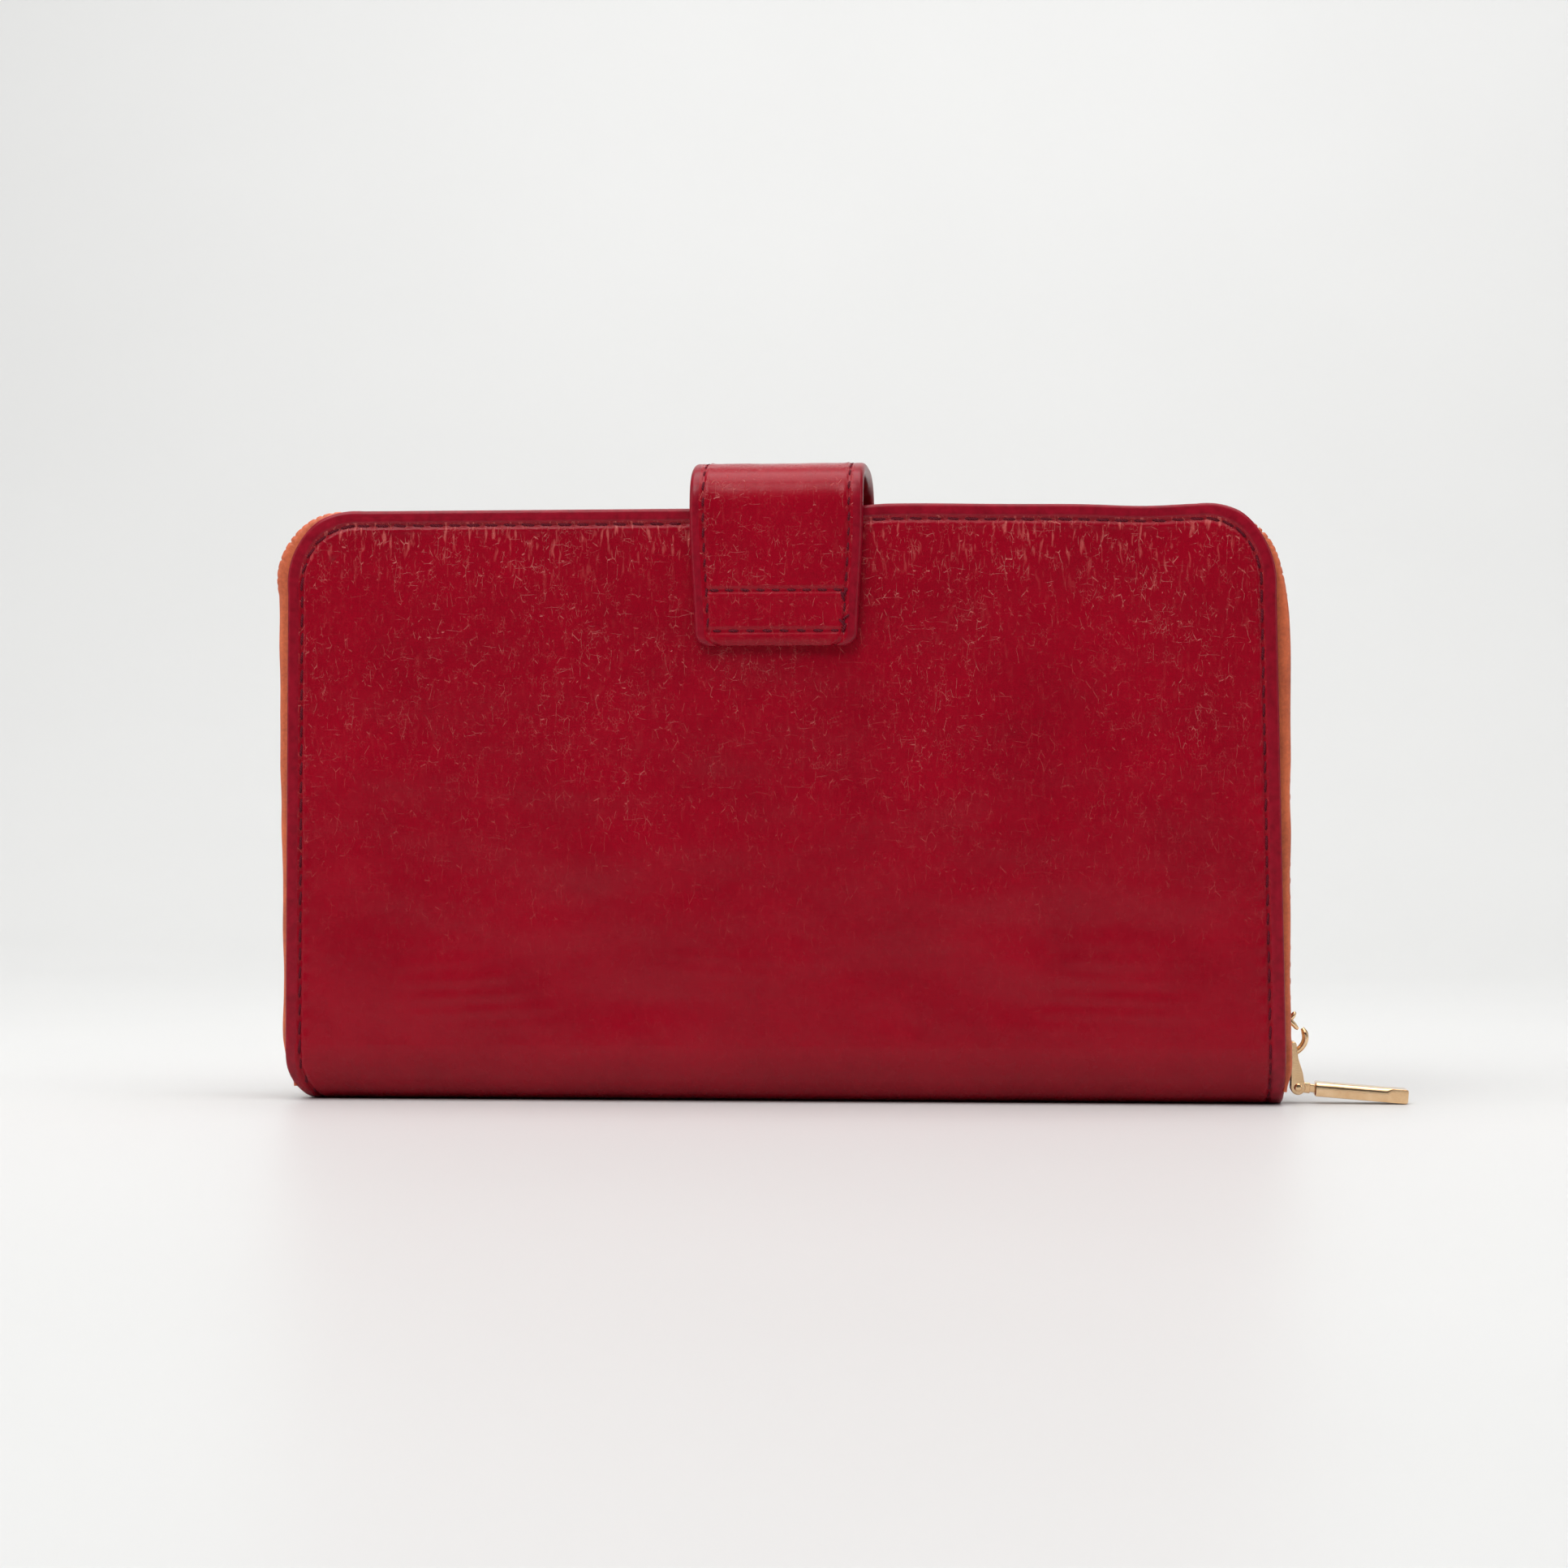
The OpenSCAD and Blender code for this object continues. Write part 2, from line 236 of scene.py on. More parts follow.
class Nodes:
    """Short way of writing a node tree."""

    def __init__(self, name):
        self.m = bpy.data.materials.new(name)
        self.m.use_nodes = True
        self.t = self.m.node_tree
        self.b = self.t.nodes["Principled BSDF"]

    def add(self, kind, inputs=None, **props):
        n = self.t.nodes.new("ShaderNode" + kind)
        for k, v in props.items():
            setattr(n, k, v)
        for k, v in (inputs or {}).items():
            if isinstance(v, bpy.types.NodeSocket):
                self.t.links.new(v, n.inputs[k])
            else:
                n.inputs[k].default_value = v
        return n

    def math(self, op, a, b=None, c=None, clamp=False):
        ins = {0: a}
        if b is not None:
            ins[1] = b
        if c is not None:
            ins[2] = c
        return self.add("Math", ins, operation=op, use_clamp=clamp).outputs[0]

    def ramp(self, value, stops):
        n = self.add("ValToRGB", {0: value})
        e = n.color_ramp.elements
        while len(e) < len(stops):
            e.new(0.5)
        for k, (pos, col) in enumerate(stops):
            e[k].position = pos
            e[k].color = (*col, 1) if len(col) == 3 else col
        return n.outputs[0]

    def grey(self, value, lo, hi):
        return self.ramp(value, [(lo, (0, 0, 0)), (hi, (1, 1, 1))])

    def bump(self, height, depth_mm, strength=1.0, normal=None):
        ins = {"Height": height, "Distance": depth_mm * MM, "Strength": strength}
        if normal is not None:
            ins["Normal"] = normal
        return self.add("Bump", ins).outputs[0]

    def set(self, **values):
        names = {"color": "Base Color", "rough": "Roughness", "metal": "Metallic",
                 "normal": "Normal", "coat": "Coat Weight",
                 "coat_rough": "Coat Roughness", "coat_normal": "Coat Normal",
                 "sheen": "Sheen Weight", "spec": "Specular IOR Level"}
        for k, v in values.items():
            s = self.b.inputs[names[k]]
            if isinstance(v, bpy.types.NodeSocket):
                self.t.links.new(v, s)
            else:
                s.default_value = v
        return self.m

    def flat(self, sx=1.0, sy=1.0):
        """UV position in millimetres, stretched."""
        uv = self.add("TexCoord").outputs["UV"]
        return self.add("Mapping", {"Vector": uv,
                                    "Scale": (100 * sx, 100 * sy, 1)}).outputs[0]

    def solid(self, sx=1.0, sy=1.0, sz=1.0):
        """Object position in millimetres."""
        p = self.add("TexCoord").outputs["Object"]
        return self.add("Mapping", {"Vector": p,
                                    "Scale": (1000 * sx, 1000 * sy, 1000 * sz)}).outputs[0]

    def noise(self, where, scale, detail=3.0, rough=0.55):
        return self.add("TexNoise", {"Vector": where, "Scale": scale, "Detail": detail,
                                     "Roughness": rough})


def red_leather(name, crackle=1.0):
    """Glazed crinkle leather: hairline cracks, mostly upright and mostly in the upper half,
    on a faint woven grain. Cracks and streaks are bumped and also painted lighter, as painted
    highlights."""
    k = Nodes(name)
    uv = k.flat()
    warp = k.noise(uv, 0.24, 1.0)
    warped = k.add("VectorMath", {0: uv, 1: k.add("VectorMath", {
        0: warp.outputs["Color"], 3: 1.1}, operation="SCALE").outputs[0]},
        operation="ADD").outputs[0]
    v = k.add("SeparateXYZ", {0: uv}).outputs[1]
    upper = k.math("MULTIPLY_ADD", v, 0.0125, -0.30, clamp=True)
    band = k.math("MULTIPLY_ADD", v, 0.10, -0.10 * (TOP - 15), clamp=True)
    cloud = k.grey(k.noise(uv, 0.045, 3.0).outputs[0], 0.36, 0.64)
    amount = k.math("MULTIPLY_ADD", k.math("MULTIPLY", upper, k.math(
        "MULTIPLY_ADD", cloud, 0.75, 0.25)), 0.95, 0.10)
    amount = k.math("MULTIPLY_ADD", band, 0.35, amount, clamp=True)

    def hairs(sx, sy, scale, width, gate_scale, lo, hi):
        where = k.add("VectorMath", {0: warped, 1: (sx, sy, 1.0)},
                      operation="MULTIPLY").outputs[0]
        cell = k.add("TexVoronoi", {"Vector": where, "Scale": scale},
                     feature="DISTANCE_TO_EDGE", voronoi_dimensions="2D").outputs[0]
        line = k.math("SUBTRACT", 1.0, k.math("DIVIDE", cell, width, clamp=True))
        gate = k.grey(k.noise(where, gate_scale, 2.0).outputs[0], lo, hi)
        return k.math("MULTIPLY", line, gate)

    upright = hairs(1.0, 0.36, 0.85, 0.050, 1.10, 0.545, 0.66)
    level = hairs(0.30, 1.0, 0.80, 0.042, 0.90, 0.57, 0.69)
    fine = hairs(1.0, 0.6, 1.9, 0.10, 0.80, 0.53, 0.68)
    lines = k.math("MULTIPLY_ADD", level, 0.55, upright)
    lines = k.math("MULTIPLY_ADD", fine, 0.45, lines, clamp=True)
    lines = k.math("MULTIPLY", k.math("MULTIPLY", lines, amount), crackle)
    tall = k.add("VectorMath", {0: warped, 1: (1.0, 0.22, 1.0)},
                 operation="MULTIPLY").outputs[0]
    streak = k.grey(k.noise(tall, 1.35, 1.0, 0.4).outputs[0], 0.60, 0.74)
    streak = k.math("MULTIPLY", k.math("MULTIPLY", streak, k.math(
        "MULTIPLY_ADD", band, 0.8, 0.12)), amount)
    warp_yarn = k.noise(k.flat(4.2, 0.5), 1.0, 1.0).outputs[0]
    weft_yarn = k.noise(k.flat(0.5, 4.2), 1.0, 1.0).outputs[0]
    grain = k.math("MULTIPLY", k.math("ADD", warp_yarn, weft_yarn), 0.5)
    soft = k.noise(uv, 0.09, 2.0).outputs[0]
    n1 = k.bump(soft, 1.0, 0.22)
    n2 = k.bump(k.math("MULTIPLY_ADD", streak, 0.7, lines), 0.12, 0.75 * crackle, n1)
    n3 = k.bump(grain, 0.030, 0.55, n2)
    tone = k.math("ADD", k.math("MULTIPLY", k.noise(uv, 0.05, 4.0).outputs[0], 0.55),
                  k.math("MULTIPLY", grain, 0.45))
    col = k.ramp(tone, [(0.33, (0.235, 0.0004, 0.0092)), (0.62, (0.318, 0.0006, 0.0122))])
    # painted highlight: crack lines painted a lighter pink-red, stronger towards the top
    col = k.add("MixRGB", {0: k.math("MULTIPLY", lines, 0.74, clamp=True), 1: col,
                           2: (0.74, 0.20, 0.165, 1)}).outputs[0]
    # painted highlight: upright streaks painted lighter, strongest near the top edge
    col = k.add("MixRGB", {0: k.math("MULTIPLY", streak, 0.50, clamp=True), 1: col,
                           2: (0.72, 0.17, 0.15, 1)}).outputs[0]
    rough = k.math("MULTIPLY_ADD", k.noise(uv, 0.25, 3.0).outputs[0], 0.16, 0.19)
    return k.set(color=col, rough=rough, normal=n3, coat=0.04, coat_rough=0.14,
                 coat_normal=n3, spec=0.17)


def edge_paint():
    k = Nodes("red_edge_paint")
    p = k.solid()
    n = k.noise(p, 0.7, 4.0).outputs[0]
    layers = k.noise(k.solid(0.05, 3.2, 0.05), 1.0, 2.0).outputs[0]
    col = k.ramp(n, [(0.3, (0.20, 0.0016, 0.011)), (0.7, (0.30, 0.0040, 0.018))])
    nrm = k.bump(k.math("ADD", n, k.math("MULTIPLY", layers, 0.5)), 0.08, 0.6)
    return k.set(color=col, rough=0.30, normal=nrm, coat=0.05, coat_rough=0.15, spec=0.2)


def orange_leather(name, light, dark):
    k = Nodes(name)
    p = k.solid()
    grain = k.noise(p, 1.7, 4.0, 0.6).outputs[0]
    patch = k.noise(p, 0.12, 3.0).outputs[0]
    cells = k.add("TexVoronoi", {"Vector": p, "Scale": 1.9},
                  feature="DISTANCE_TO_EDGE").outputs[0]
    pores = k.math("SUBTRACT", 1.0, k.math("MULTIPLY", cells, 6.0, clamp=True))
    tone = k.math("ADD", k.math("MULTIPLY", patch, 0.6), k.math("MULTIPLY", grain, 0.4))
    col = k.ramp(tone, [(0.33, dark), (0.60, light)])
    n1 = k.bump(grain, 0.10, 0.7)
    n2 = k.bump(pores, 0.04, -0.5, n1)
    rough = k.math("MULTIPLY_ADD", grain, 0.25, 0.36)
    return k.set(color=col, rough=rough, normal=n2, sheen=0.08)


def thread(name, base, lift):
    k = Nodes(name)
    p = k.solid()
    twist = k.add("TexWave", {"Vector": p, "Scale": 1.3, "Distortion": 2.0, "Detail": 1.0},
                  bands_direction="DIAGONAL").outputs["Fac"]
    fuzz = k.noise(p, 2.6, 2.0).outputs[0]
    col = k.ramp(k.math("ADD", k.math("MULTIPLY", twist, 0.5),
                        k.math("MULTIPLY", fuzz, 0.5)), [(0.3, base), (0.75, lift)])
    return k.set(color=col, rough=0.78, spec=0.2, normal=k.bump(twist, 0.08, 0.7))


def woven(name, light, dark, scale=1.0):
    k = Nodes(name)
    uv = k.flat(scale, scale)
    warp = k.add("TexWave", {"Vector": uv, "Scale": 0.55, "Distortion": 0.3},
                 bands_direction="X").outputs["Fac"]
    weft = k.add("TexWave", {"Vector": uv, "Scale": 0.55, "Distortion": 0.3},
                 bands_direction="Y").outputs["Fac"]
    cloth = k.math("MAXIMUM", warp, weft)
    fuzz = k.noise(uv, 1.4, 3.0).outputs[0]
    tone = k.math("ADD", k.math("MULTIPLY", cloth, 0.6), k.math("MULTIPLY", fuzz, 0.4))
    col = k.ramp(tone, [(0.35, dark), (0.85, light)])
    nrm = k.bump(tone, 0.14, 0.7)
    return k.set(color=col, rough=0.82, normal=nrm, sheen=0.25)


def coil_plastic():
    k = Nodes("zip_coil_plastic")
    p = k.solid()
    n = k.noise(p, 0.9, 3.0).outputs[0]
    col = k.ramp(n, [(0.3, (0.30, 0.055, 0.020)), (0.7, (0.46, 0.100, 0.036))])
    return k.set(color=col, rough=0.34, normal=k.bump(n, 0.05, 0.5))


def pale_gold():
    k = Nodes("pale_gold")
    p = k.solid()
    cloud = k.noise(p, 0.35, 3.0).outputs[0]
    brushed = k.noise(k.solid(0.5, 5.0, 5.0), 1.0, 2.0).outputs[0]
    scratch = k.noise(k.solid(2.0, 0.4, 9.0), 0.9, 2.0).outputs[0]
    col = k.ramp(cloud, [(0.3, (0.78, 0.50, 0.27)), (0.7, (0.93, 0.66, 0.40))])
    rough = k.math("ADD", k.math("MULTIPLY", cloud, 0.12),
                   k.math("MULTIPLY", scratch, 0.12))
    nrm = k.bump(k.math("ADD", brushed, scratch), 0.012, 0.5)
    return k.set(color=col, rough=k.math("ADD", rough, 0.06), metal=1.0, normal=nrm)


def card_board():
    k = Nodes("grey_board")
    p = k.solid()
    fibre = k.noise(k.solid(0.4, 3.0, 2.0), 0.8, 5.0, 0.7).outputs[0]
    col = k.ramp(fibre, [(0.3, (0.20, 0.15, 0.10)), (0.7, (0.38, 0.31, 0.23))])
    return k.set(color=col, rough=0.9, normal=k.bump(k.noise(p, 2.0, 4.0).outputs[0], 0.1, 0.6))


RED = red_leather("red_leather_crinkle")
RED_PLAIN = red_leather("red_leather_slots", 0.45)
EDGE = edge_paint()
ORANGE = orange_leather("orange_binding", (0.70, 0.150, 0.050), (0.42, 0.075, 0.026))
ORANGE_WALL = orange_leather("orange_pouch", (0.62, 0.135, 0.048), (0.40, 0.075, 0.028))
THREAD = thread("red_thread", (0.065, 0.0010, 0.007), (0.17, 0.005, 0.018))
THREAD_ORANGE = thread("orange_thread", (0.35, 0.07, 0.03), (0.62, 0.16, 0.07))
LINING = woven("woven_lining", (0.44, 0.13, 0.065), (0.25, 0.06, 0.03))
TAPE = woven("zip_tape_weave", (0.55, 0.12, 0.045), (0.28, 0.055, 0.02), 1.4)
COIL = coil_plastic()
GOLD = pale_gold()
BOARD = card_board()


# ---------------------------------------------------------------- leather panels

PANEL_STEP = 0.9


def coons(border, n_side, n_top, bottom):
    """Fills the space inside a U of points with a grid. border is ordered up the
    left side, along the top and down the right side."""
    left = border[:n_side + 1]
    top = border[n_side:n_side + n_top + 1]
    right = border[n_side + n_top:][::-1]
    grid = np.zeros((n_side + 1, n_top + 1, 2))
    for i in range(n_side + 1):
        v = i / n_side
        for j in range(n_top + 1):
            u = j / n_top
            grid[i, j] = ((1 - u) * left[i] + u * right[i] + (1 - v) * bottom[j] + v * top[j]
                          - ((1 - u) * (1 - v) * left[0] + u * (1 - v) * right[0]
                             + (1 - u) * v * left[-1] + u * v * right[-1]))
    return grid


def inner_grid(base, nrm, d, n_side, n_top):
    """Grid inside the line that lies d in from the outline."""
    border = base - nrm * d
    u = np.linspace(0, 1, n_top + 1)[:, None]
    return coons(border, n_side, n_top, (1 - u) * border[0] + u * border[-1])


def rim_index(start, n, n_side, n_top):
    """Vertex numbers of such a grid: n known ones round the rim, -1 inside."""
    index = -np.ones((n_side + 1, n_top + 1), int)
    for i in range(n_side + 1):
        index[i, 0] = start + i
        index[i, -1] = start + n - 1 - i
    for j in range(n_top + 1):
        index[-1, j] = start + n_side + j
    return index


def quads(index):
    return [(index[i, j], index[i + 1, j], index[i + 1, j + 1], index[i, j + 1])
            for i in range(len(index) - 1) for j in range(len(index[0]) - 1)]


def seam_depth(d, s, rough=0.0):
    """Groove the stitches lie in, with puckered lips on both sides."""
    phase = math.cos(2 * math.pi * s / PITCH)
    groove = math.exp(-((d - STITCH_IN) / 0.42) ** 2)
    lip = math.exp(-((d - STITCH_IN - 0.95) / 0.5) ** 2)
    lip_out = math.exp(-((d - STITCH_IN + 0.95) / 0.55) ** 2)
    return (-groove * (0.36 + 0.16 * phase) + lip * (0.10 + 0.10 * phase * (1 + rough))
            + lip_out * 0.10)


def cover_depth(d, s, x, z, seed):
    """How far the cover's outer skin lies in front of its flat plane."""
    out = seam_depth(d, s, wander(x, z, 3.0, 4.0 + seed))
    inner = (smooth_step(STITCH_IN + 0.8, STITCH_IN + 12, d)
             * smooth_step(PANEL_Z0, PANEL_Z0 + 9, z))
    out += inner * (0.42 * wander(x, z, 34.0, 1.0 + seed)
                    + 0.16 * wander(x * 0.5, z * 1.6, 12.0, 2.0 + seed))
    low = smooth_step(40, 16, z) * inner * smooth_step(-0.2, 0.5, wander(x, z, 25.0, 6.0))
    out += 0.05 * low * math.sin(z * 1.9 + 5.0 * wander(x * 0.4, z, 22.0, 3.0))
    return float(out)


SPREAD = 0.0098


def fullness(x, z):
    """How far a point lies out into an upper corner: 1 half way round the curve."""
    across = np.clip((abs(x) - HALF_W + CORNER) / CORNER, 0, 1)
    up = np.clip((z - TOP + CORNER) / CORNER, 0, 1)
    return float(2 * across * up)


def narrowing(x, z):
    """The cover draws in a little towards the top, more at the zip end, and its upper
    corners are full."""
    t = max(0.0, (z - PANEL_Z0) / (TOP - PANEL_Z0))
    if x > 0:
        return x * (1 + SPREAD - 0.0195 * t) + 0.6 * fullness(x, z)
    return x * (1 - 0.0045 * t) - 0.9 * fullness(x, z)


def top_rise(x, z, side):
    """The top edge stands a little proud of the binding, highest beside the strap, and
    sags at one place on the strap side."""
    flat = smooth_step(HALF_W, HALF_W - 0.5 * CORNER, abs(x))
    if side < 0:
        up = 1.0 + (0.35 * float(smooth_step(14, 22, x))
                    + 0.35 * math.exp(-((x - 25) / 16) ** 2)
                    - 0.50 * math.exp(-((x - 71) / 9.0) ** 2))
    else:
        up = 1.0 - 0.3 * math.exp(-((x + 40) / 12) ** 2)
    full = 0.7 * fullness(x, z)
    return z + float(up * flat * smooth_step(TOP - 22, TOP, z)) + full


def cover_panel(name, outer_y, inner_y, body, seed, node, dimple=None):
    """outer_y is the plane of the grain side. The edge is rounded and painted."""
    side = 1 if outer_y > inner_y else -1
    half = LEATHER / 2
    mid = (outer_y + inner_y) / 2
    base, nrm, s, leg, arc, flat = u_path(HALF_W, TOP, CORNER, PANEL_Z0, PANEL_STEP)
    n_side, n_top = leg + arc // 2, flat + arc
    rims = []
    for a in np.linspace(-90, 90, 9):
        t = math.radians(a)
        rims.append((half * (1 - math.cos(t)), mid + side * half * math.sin(t), True))
    rims += [(d, None, False) for d in BORDER_STEPS]
    verts, uvs = [], []
    n = len(base)
    stitch_s = s - s[-1] / 2
    for d, y, rim in rims:
        for i in range(n):
            x, z = base[i] - nrm[i] * d
            if rim:
                yy = y
            else:
                yy = outer_y + side * cover_depth(d, stitch_s[i], x, z, seed)
            verts.append((narrowing(x, z), yy, top_rise(x, z, side)))
            uvs.append((x, z + (0 if not rim else side * (yy - outer_y))))
    grid = inner_grid(base, nrm, rims[-1][0], n_side, n_top)
    index = rim_index((len(rims) - 1) * n, n, n_side, n_top)
    for i in range(n_side + 1):
        for j in range(n_top + 1):
            if index[i, j] < 0:
                x, z = grid[i, j]
                d = min(HALF_W - abs(x), TOP - z)
                yy = outer_y + side * cover_depth(d, 0.0, x, z, seed)
                if dimple:
                    reach = math.hypot(x - dimple[0], z - dimple[1])
                    yy -= side * dimple[3] * smooth_step(dimple[2], dimple[2] - 0.8, reach)
                index[i, j] = len(verts)
                verts.append((narrowing(x, z), yy, top_rise(x, z, side)))
                uvs.append((x, z))
    faces = bands(len(rims), n) + quads(index) + [tuple(range(n))]
    if side > 0:
        faces = [tuple(reversed(f)) for f in faces]
    ob = make(name, verts, faces, uvs, RED, body, [node])
    ob.data.materials.append(EDGE)
    painted = sum(1 for d, _, _ in rims if d < 2.2)
    for p in ob.data.polygons[:painted * (n - 1)]:
        p.material_index = 1
    return ob


def stitch_mesh(points, dirs, outs, length=3.0, radius=0.27, lift=0.08, slant=0.10):
    """One mesh of short sewn stitches, each dipping into the leather at both ends."""
    parts = []
    ring_n, seg = 8, 7
    for k, (p, d, o) in enumerate(zip(points, dirs, outs)):
        p, d, o = np.array(p), np.array(d), np.array(o)
        b = np.cross(d, o)
        tilt = slant * (1 + 0.6 * math.sin(7.3 * k))
        d = d * math.cos(tilt) + b * math.sin(tilt)
        b = np.cross(d, o)
        size = 1 + 0.07 * math.sin(3.7 * k + 1)
        rings = []
        for i in range(seg + 1):
            t = 2 * i / seg - 1
            centre = p + d * (t * length / 2 * size) + o * (lift - 0.52 * abs(t) ** 3)
            r = radius * size * (1 - 0.35 * t ** 4)
            rings.append([centre + r * (math.cos(q) * b + 0.8 * math.sin(q) * o)
                          for q in around(ring_n)])
        parts.append(skin(rings))
    return merge(parts)


def sew(name, where, shape=(), body=None, nodes=(), blend=None, material=THREAD):
    """where holds the stitches' places, directions and outward directions."""
    v, f, _ = stitch_mesh(*where, *shape)
    return make(name, v, f, None, material, body, nodes, blend=blend)


def cover_threads(name, y, body, node, hide):
    base, nrm, *_ = u_path(HALF_W, TOP, CORNER, PANEL_Z0, 0.3)
    line = base - nrm * STITCH_IN
    cum = lengths(base)
    middle = cum[-1] / 2
    pts, dirs, outs = [], [], []
    side = 1 if y > 0 else -1
    k_max = int(middle / PITCH)
    for k in range(-k_max, k_max + 1):
        at = middle + (k + 0.5) * PITCH
        if at < 1.2 or at > cum[-1] - 1.2:
            continue
        x, z = along(at, cum, line)
        (x0, z0), (x1, z1) = along(at - 0.4, cum, line), along(at + 0.4, cum, line)
        dx, dz = x1 - x0, z1 - z0
        if hide[0] < x < hide[1] and z > hide[2]:
            continue
        m = math.hypot(dx, dz)
        pts.append((narrowing(x, z), y - side * 0.30, top_rise(x, z, side)))
        dirs.append((dx / m, 0, dz / m))
        outs.append((0, side, 0))
    return sew(name, (pts, dirs, outs), (), body, [node])


STRAP_HALF = ANCHOR_HI[0]
SNAP_Z = sum(c[2] for c in node_box("snap_socket")) / 2
cover_panel("back_cover", -HALF_T, -HALF_T + LEATHER, "back", 0.0, "cover_back")
cover_panel("flap_cover", HALF_T, HALF_T - LEATHER, "flap", 9.0, "cover_flap",
            (0.0, SNAP_Z, 5.6, 1.25))
cover_threads("back_cover_thread", -HALF_T, "back", "stitching_back",
              (-STRAP_HALF + 0.4, STRAP_HALF - 0.4, ANCHOR_LO[2]))
cover_threads("flap_cover_thread", HALF_T, "flap", "stitching_flap",
              (-STRAP_HALF + 0.4, STRAP_HALF - 0.4, ANCHOR_LO[2]))


# ---------------------------------------------------------------- spine

COVER_HALF = u_path(HALF_W, TOP, CORNER, PANEL_Z0, PANEL_STEP)[2][-1] / 2


def spine_end(x, z):
    """The spine's ends draw in towards the floor, mostly at the end away from the zip."""
    low = max(0.0, (8.0 - z) / 8.0) ** 2
    return x * (1 + (SPREAD - 0.004 * low if x > 0 else -0.031 * low))


def spine_path(r, n_arc=26, n_flat=8):
    """Points, outward directions and lengths from the back panel's foot to the middle."""
    c = HALF_T - SPINE_R
    pts, outs = [], []
    for i in range(n_arc + 1):
        a = math.pi / 2 * i / n_arc
        pts.append((-c - r * math.cos(a), SPINE_R - r * math.sin(a)))
        outs.append((-math.cos(a), -math.sin(a)))
    for i in range(1, n_flat + 1):
        pts.append((-c + c * i / n_flat, SPINE_R - r))
        outs.append((0.0, -1.0))
    return np.array(pts), np.array(outs)


def spine_half(name, front, r_out, r_in, half_w, material, node, blend, groove):
    pts, outs = spine_path(r_out)
    ins, _ = spine_path(r_in)
    arc = lengths(pts)
    flip = -1 if front else 1
    edge = (r_out - r_in) / 2
    offs = [edge * (1 - math.cos(math.radians(a))) for a in np.linspace(-90, 90, 9)]
    mids = [edge * math.sin(math.radians(a)) for a in np.linspace(-90, 90, 9)]
    inner = list(BORDER_STEPS) + list(np.linspace(7.0, half_w, 44)[1:])
    xs = [(-half_w + d, m) for d, m in zip(offs, mids)]
    xs += [(-half_w + d, edge) for d in inner]
    xs += [(half_w - d, edge) for d in inner[-2::-1]]
    xs += [(half_w - d, m) for d, m in reversed(list(zip(offs, mids)))]
    rows, uvs = [], []
    for i in range(len(pts)):
        row = []
        centre = (pts[i] + ins[i]) / 2
        for x, m in xs:
            d = half_w - abs(x)
            lift = m
            if groove and m == edge and d > 1:
                fade = smooth_step(arc[-1], arc[-1] * 0.6, arc[i])
                lift += float(fade) * seam_depth(d, COVER_HALF + arc[i])
                lift += 0.05 * wander(x, arc[i], 14.0, 5.0) * float(
                    smooth_step(0, 6, arc[i]) * smooth_step(STITCH_IN + 1, 9, d))
            y, z = centre + outs[i] * lift
            z = max(z, 0.0) if m > 0 and z < 0.3 else z
            row.append((spine_end(x, z), flip * y, z))
            uvs.append((x, PANEL_Z0 - arc[i] + (0 if m == edge else m - edge)))
        rows.append(row)
    verts, faces = skin(rows)
    ob = make(name, verts, faces, uvs, material, None, [node], blend=blend)
    if groove:
        ob.data.materials.append(EDGE)
        for p in ob.data.polygons:
            if abs(p.center[0]) * 1000 > half_w - 2.1 or len(p.vertices) > 4:
                p.material_index = 1
    return ob


BACK_TO_LEAF = ("back", "leaf", (0, -HALF_T * MM, SPINE_R * MM), (0, 0, 0))
LEAF_TO_FLAP = ("leaf", "flap", (0, 0.4 * HALF_T * MM, 0), (0, HALF_T * MM, SPINE_R * MM))
spine_half("spine_rear", False, SPINE_R, SPINE_R - LEATHER, HALF_W, RED,
           "cover_spine", BACK_TO_LEAF, True)
spine_half("spine_front", True, SPINE_R, SPINE_R - LEATHER, HALF_W, RED,
           "cover_spine", LEAF_TO_FLAP, True)
SPINE_LINING = SPINE_R - LEATHER - 0.05
spine_half("spine_lining_rear", False, SPINE_LINING, SPINE_LINING - 0.7, HALF_W - 1, LINING,
           "spine_lining", BACK_TO_LEAF, False)
spine_half("spine_lining_front", True, SPINE_LINING, SPINE_LINING - 0.7, HALF_W - 1, LINING,
           "spine_lining", LEAF_TO_FLAP, False)


def spine_threads(name, front, blend):
    pts, outs = spine_path(SPINE_R)
    arc = lengths(pts)
    flip = -1 if front else 1
    where, dirs, ups = [], [], []
    for x in (-HALF_W + STITCH_IN, HALF_W - STITCH_IN):
        for k in range(math.ceil(COVER_HALF / PITCH - 0.5), 99):
            at = (k + 0.5) * PITCH - COVER_HALF
            if at > arc[-1] - 6:
                break
            y, z = along(at, arc, pts)
            oy, oz = along(at, arc, outs)
            size = math.hypot(oy, oz)
            oy, oz = oy / size, oz / size
            where.append((spine_end(x, z), flip * (y - oy * 0.30), z - oz * 0.30))
            ups.append((0, flip * oy, oz))
            dirs.append((0, flip * -oz, oy))
    return sew(name, (where, dirs, ups), blend=blend)


spine_threads("spine_thread_rear", False, BACK_TO_LEAF)
spine_threads("spine_thread_front", True, LEAF_TO_FLAP)


# ---------------------------------------------------------------- strap

STRAP_T = ANCHOR_HI[1] - ANCHOR_LO[1]
STRAP_IN = 2.7
STRAP_PITCH = 2.9
STRAP_SEAMS = (2.8, 10.6)
APEX = ARCH_HI[2]


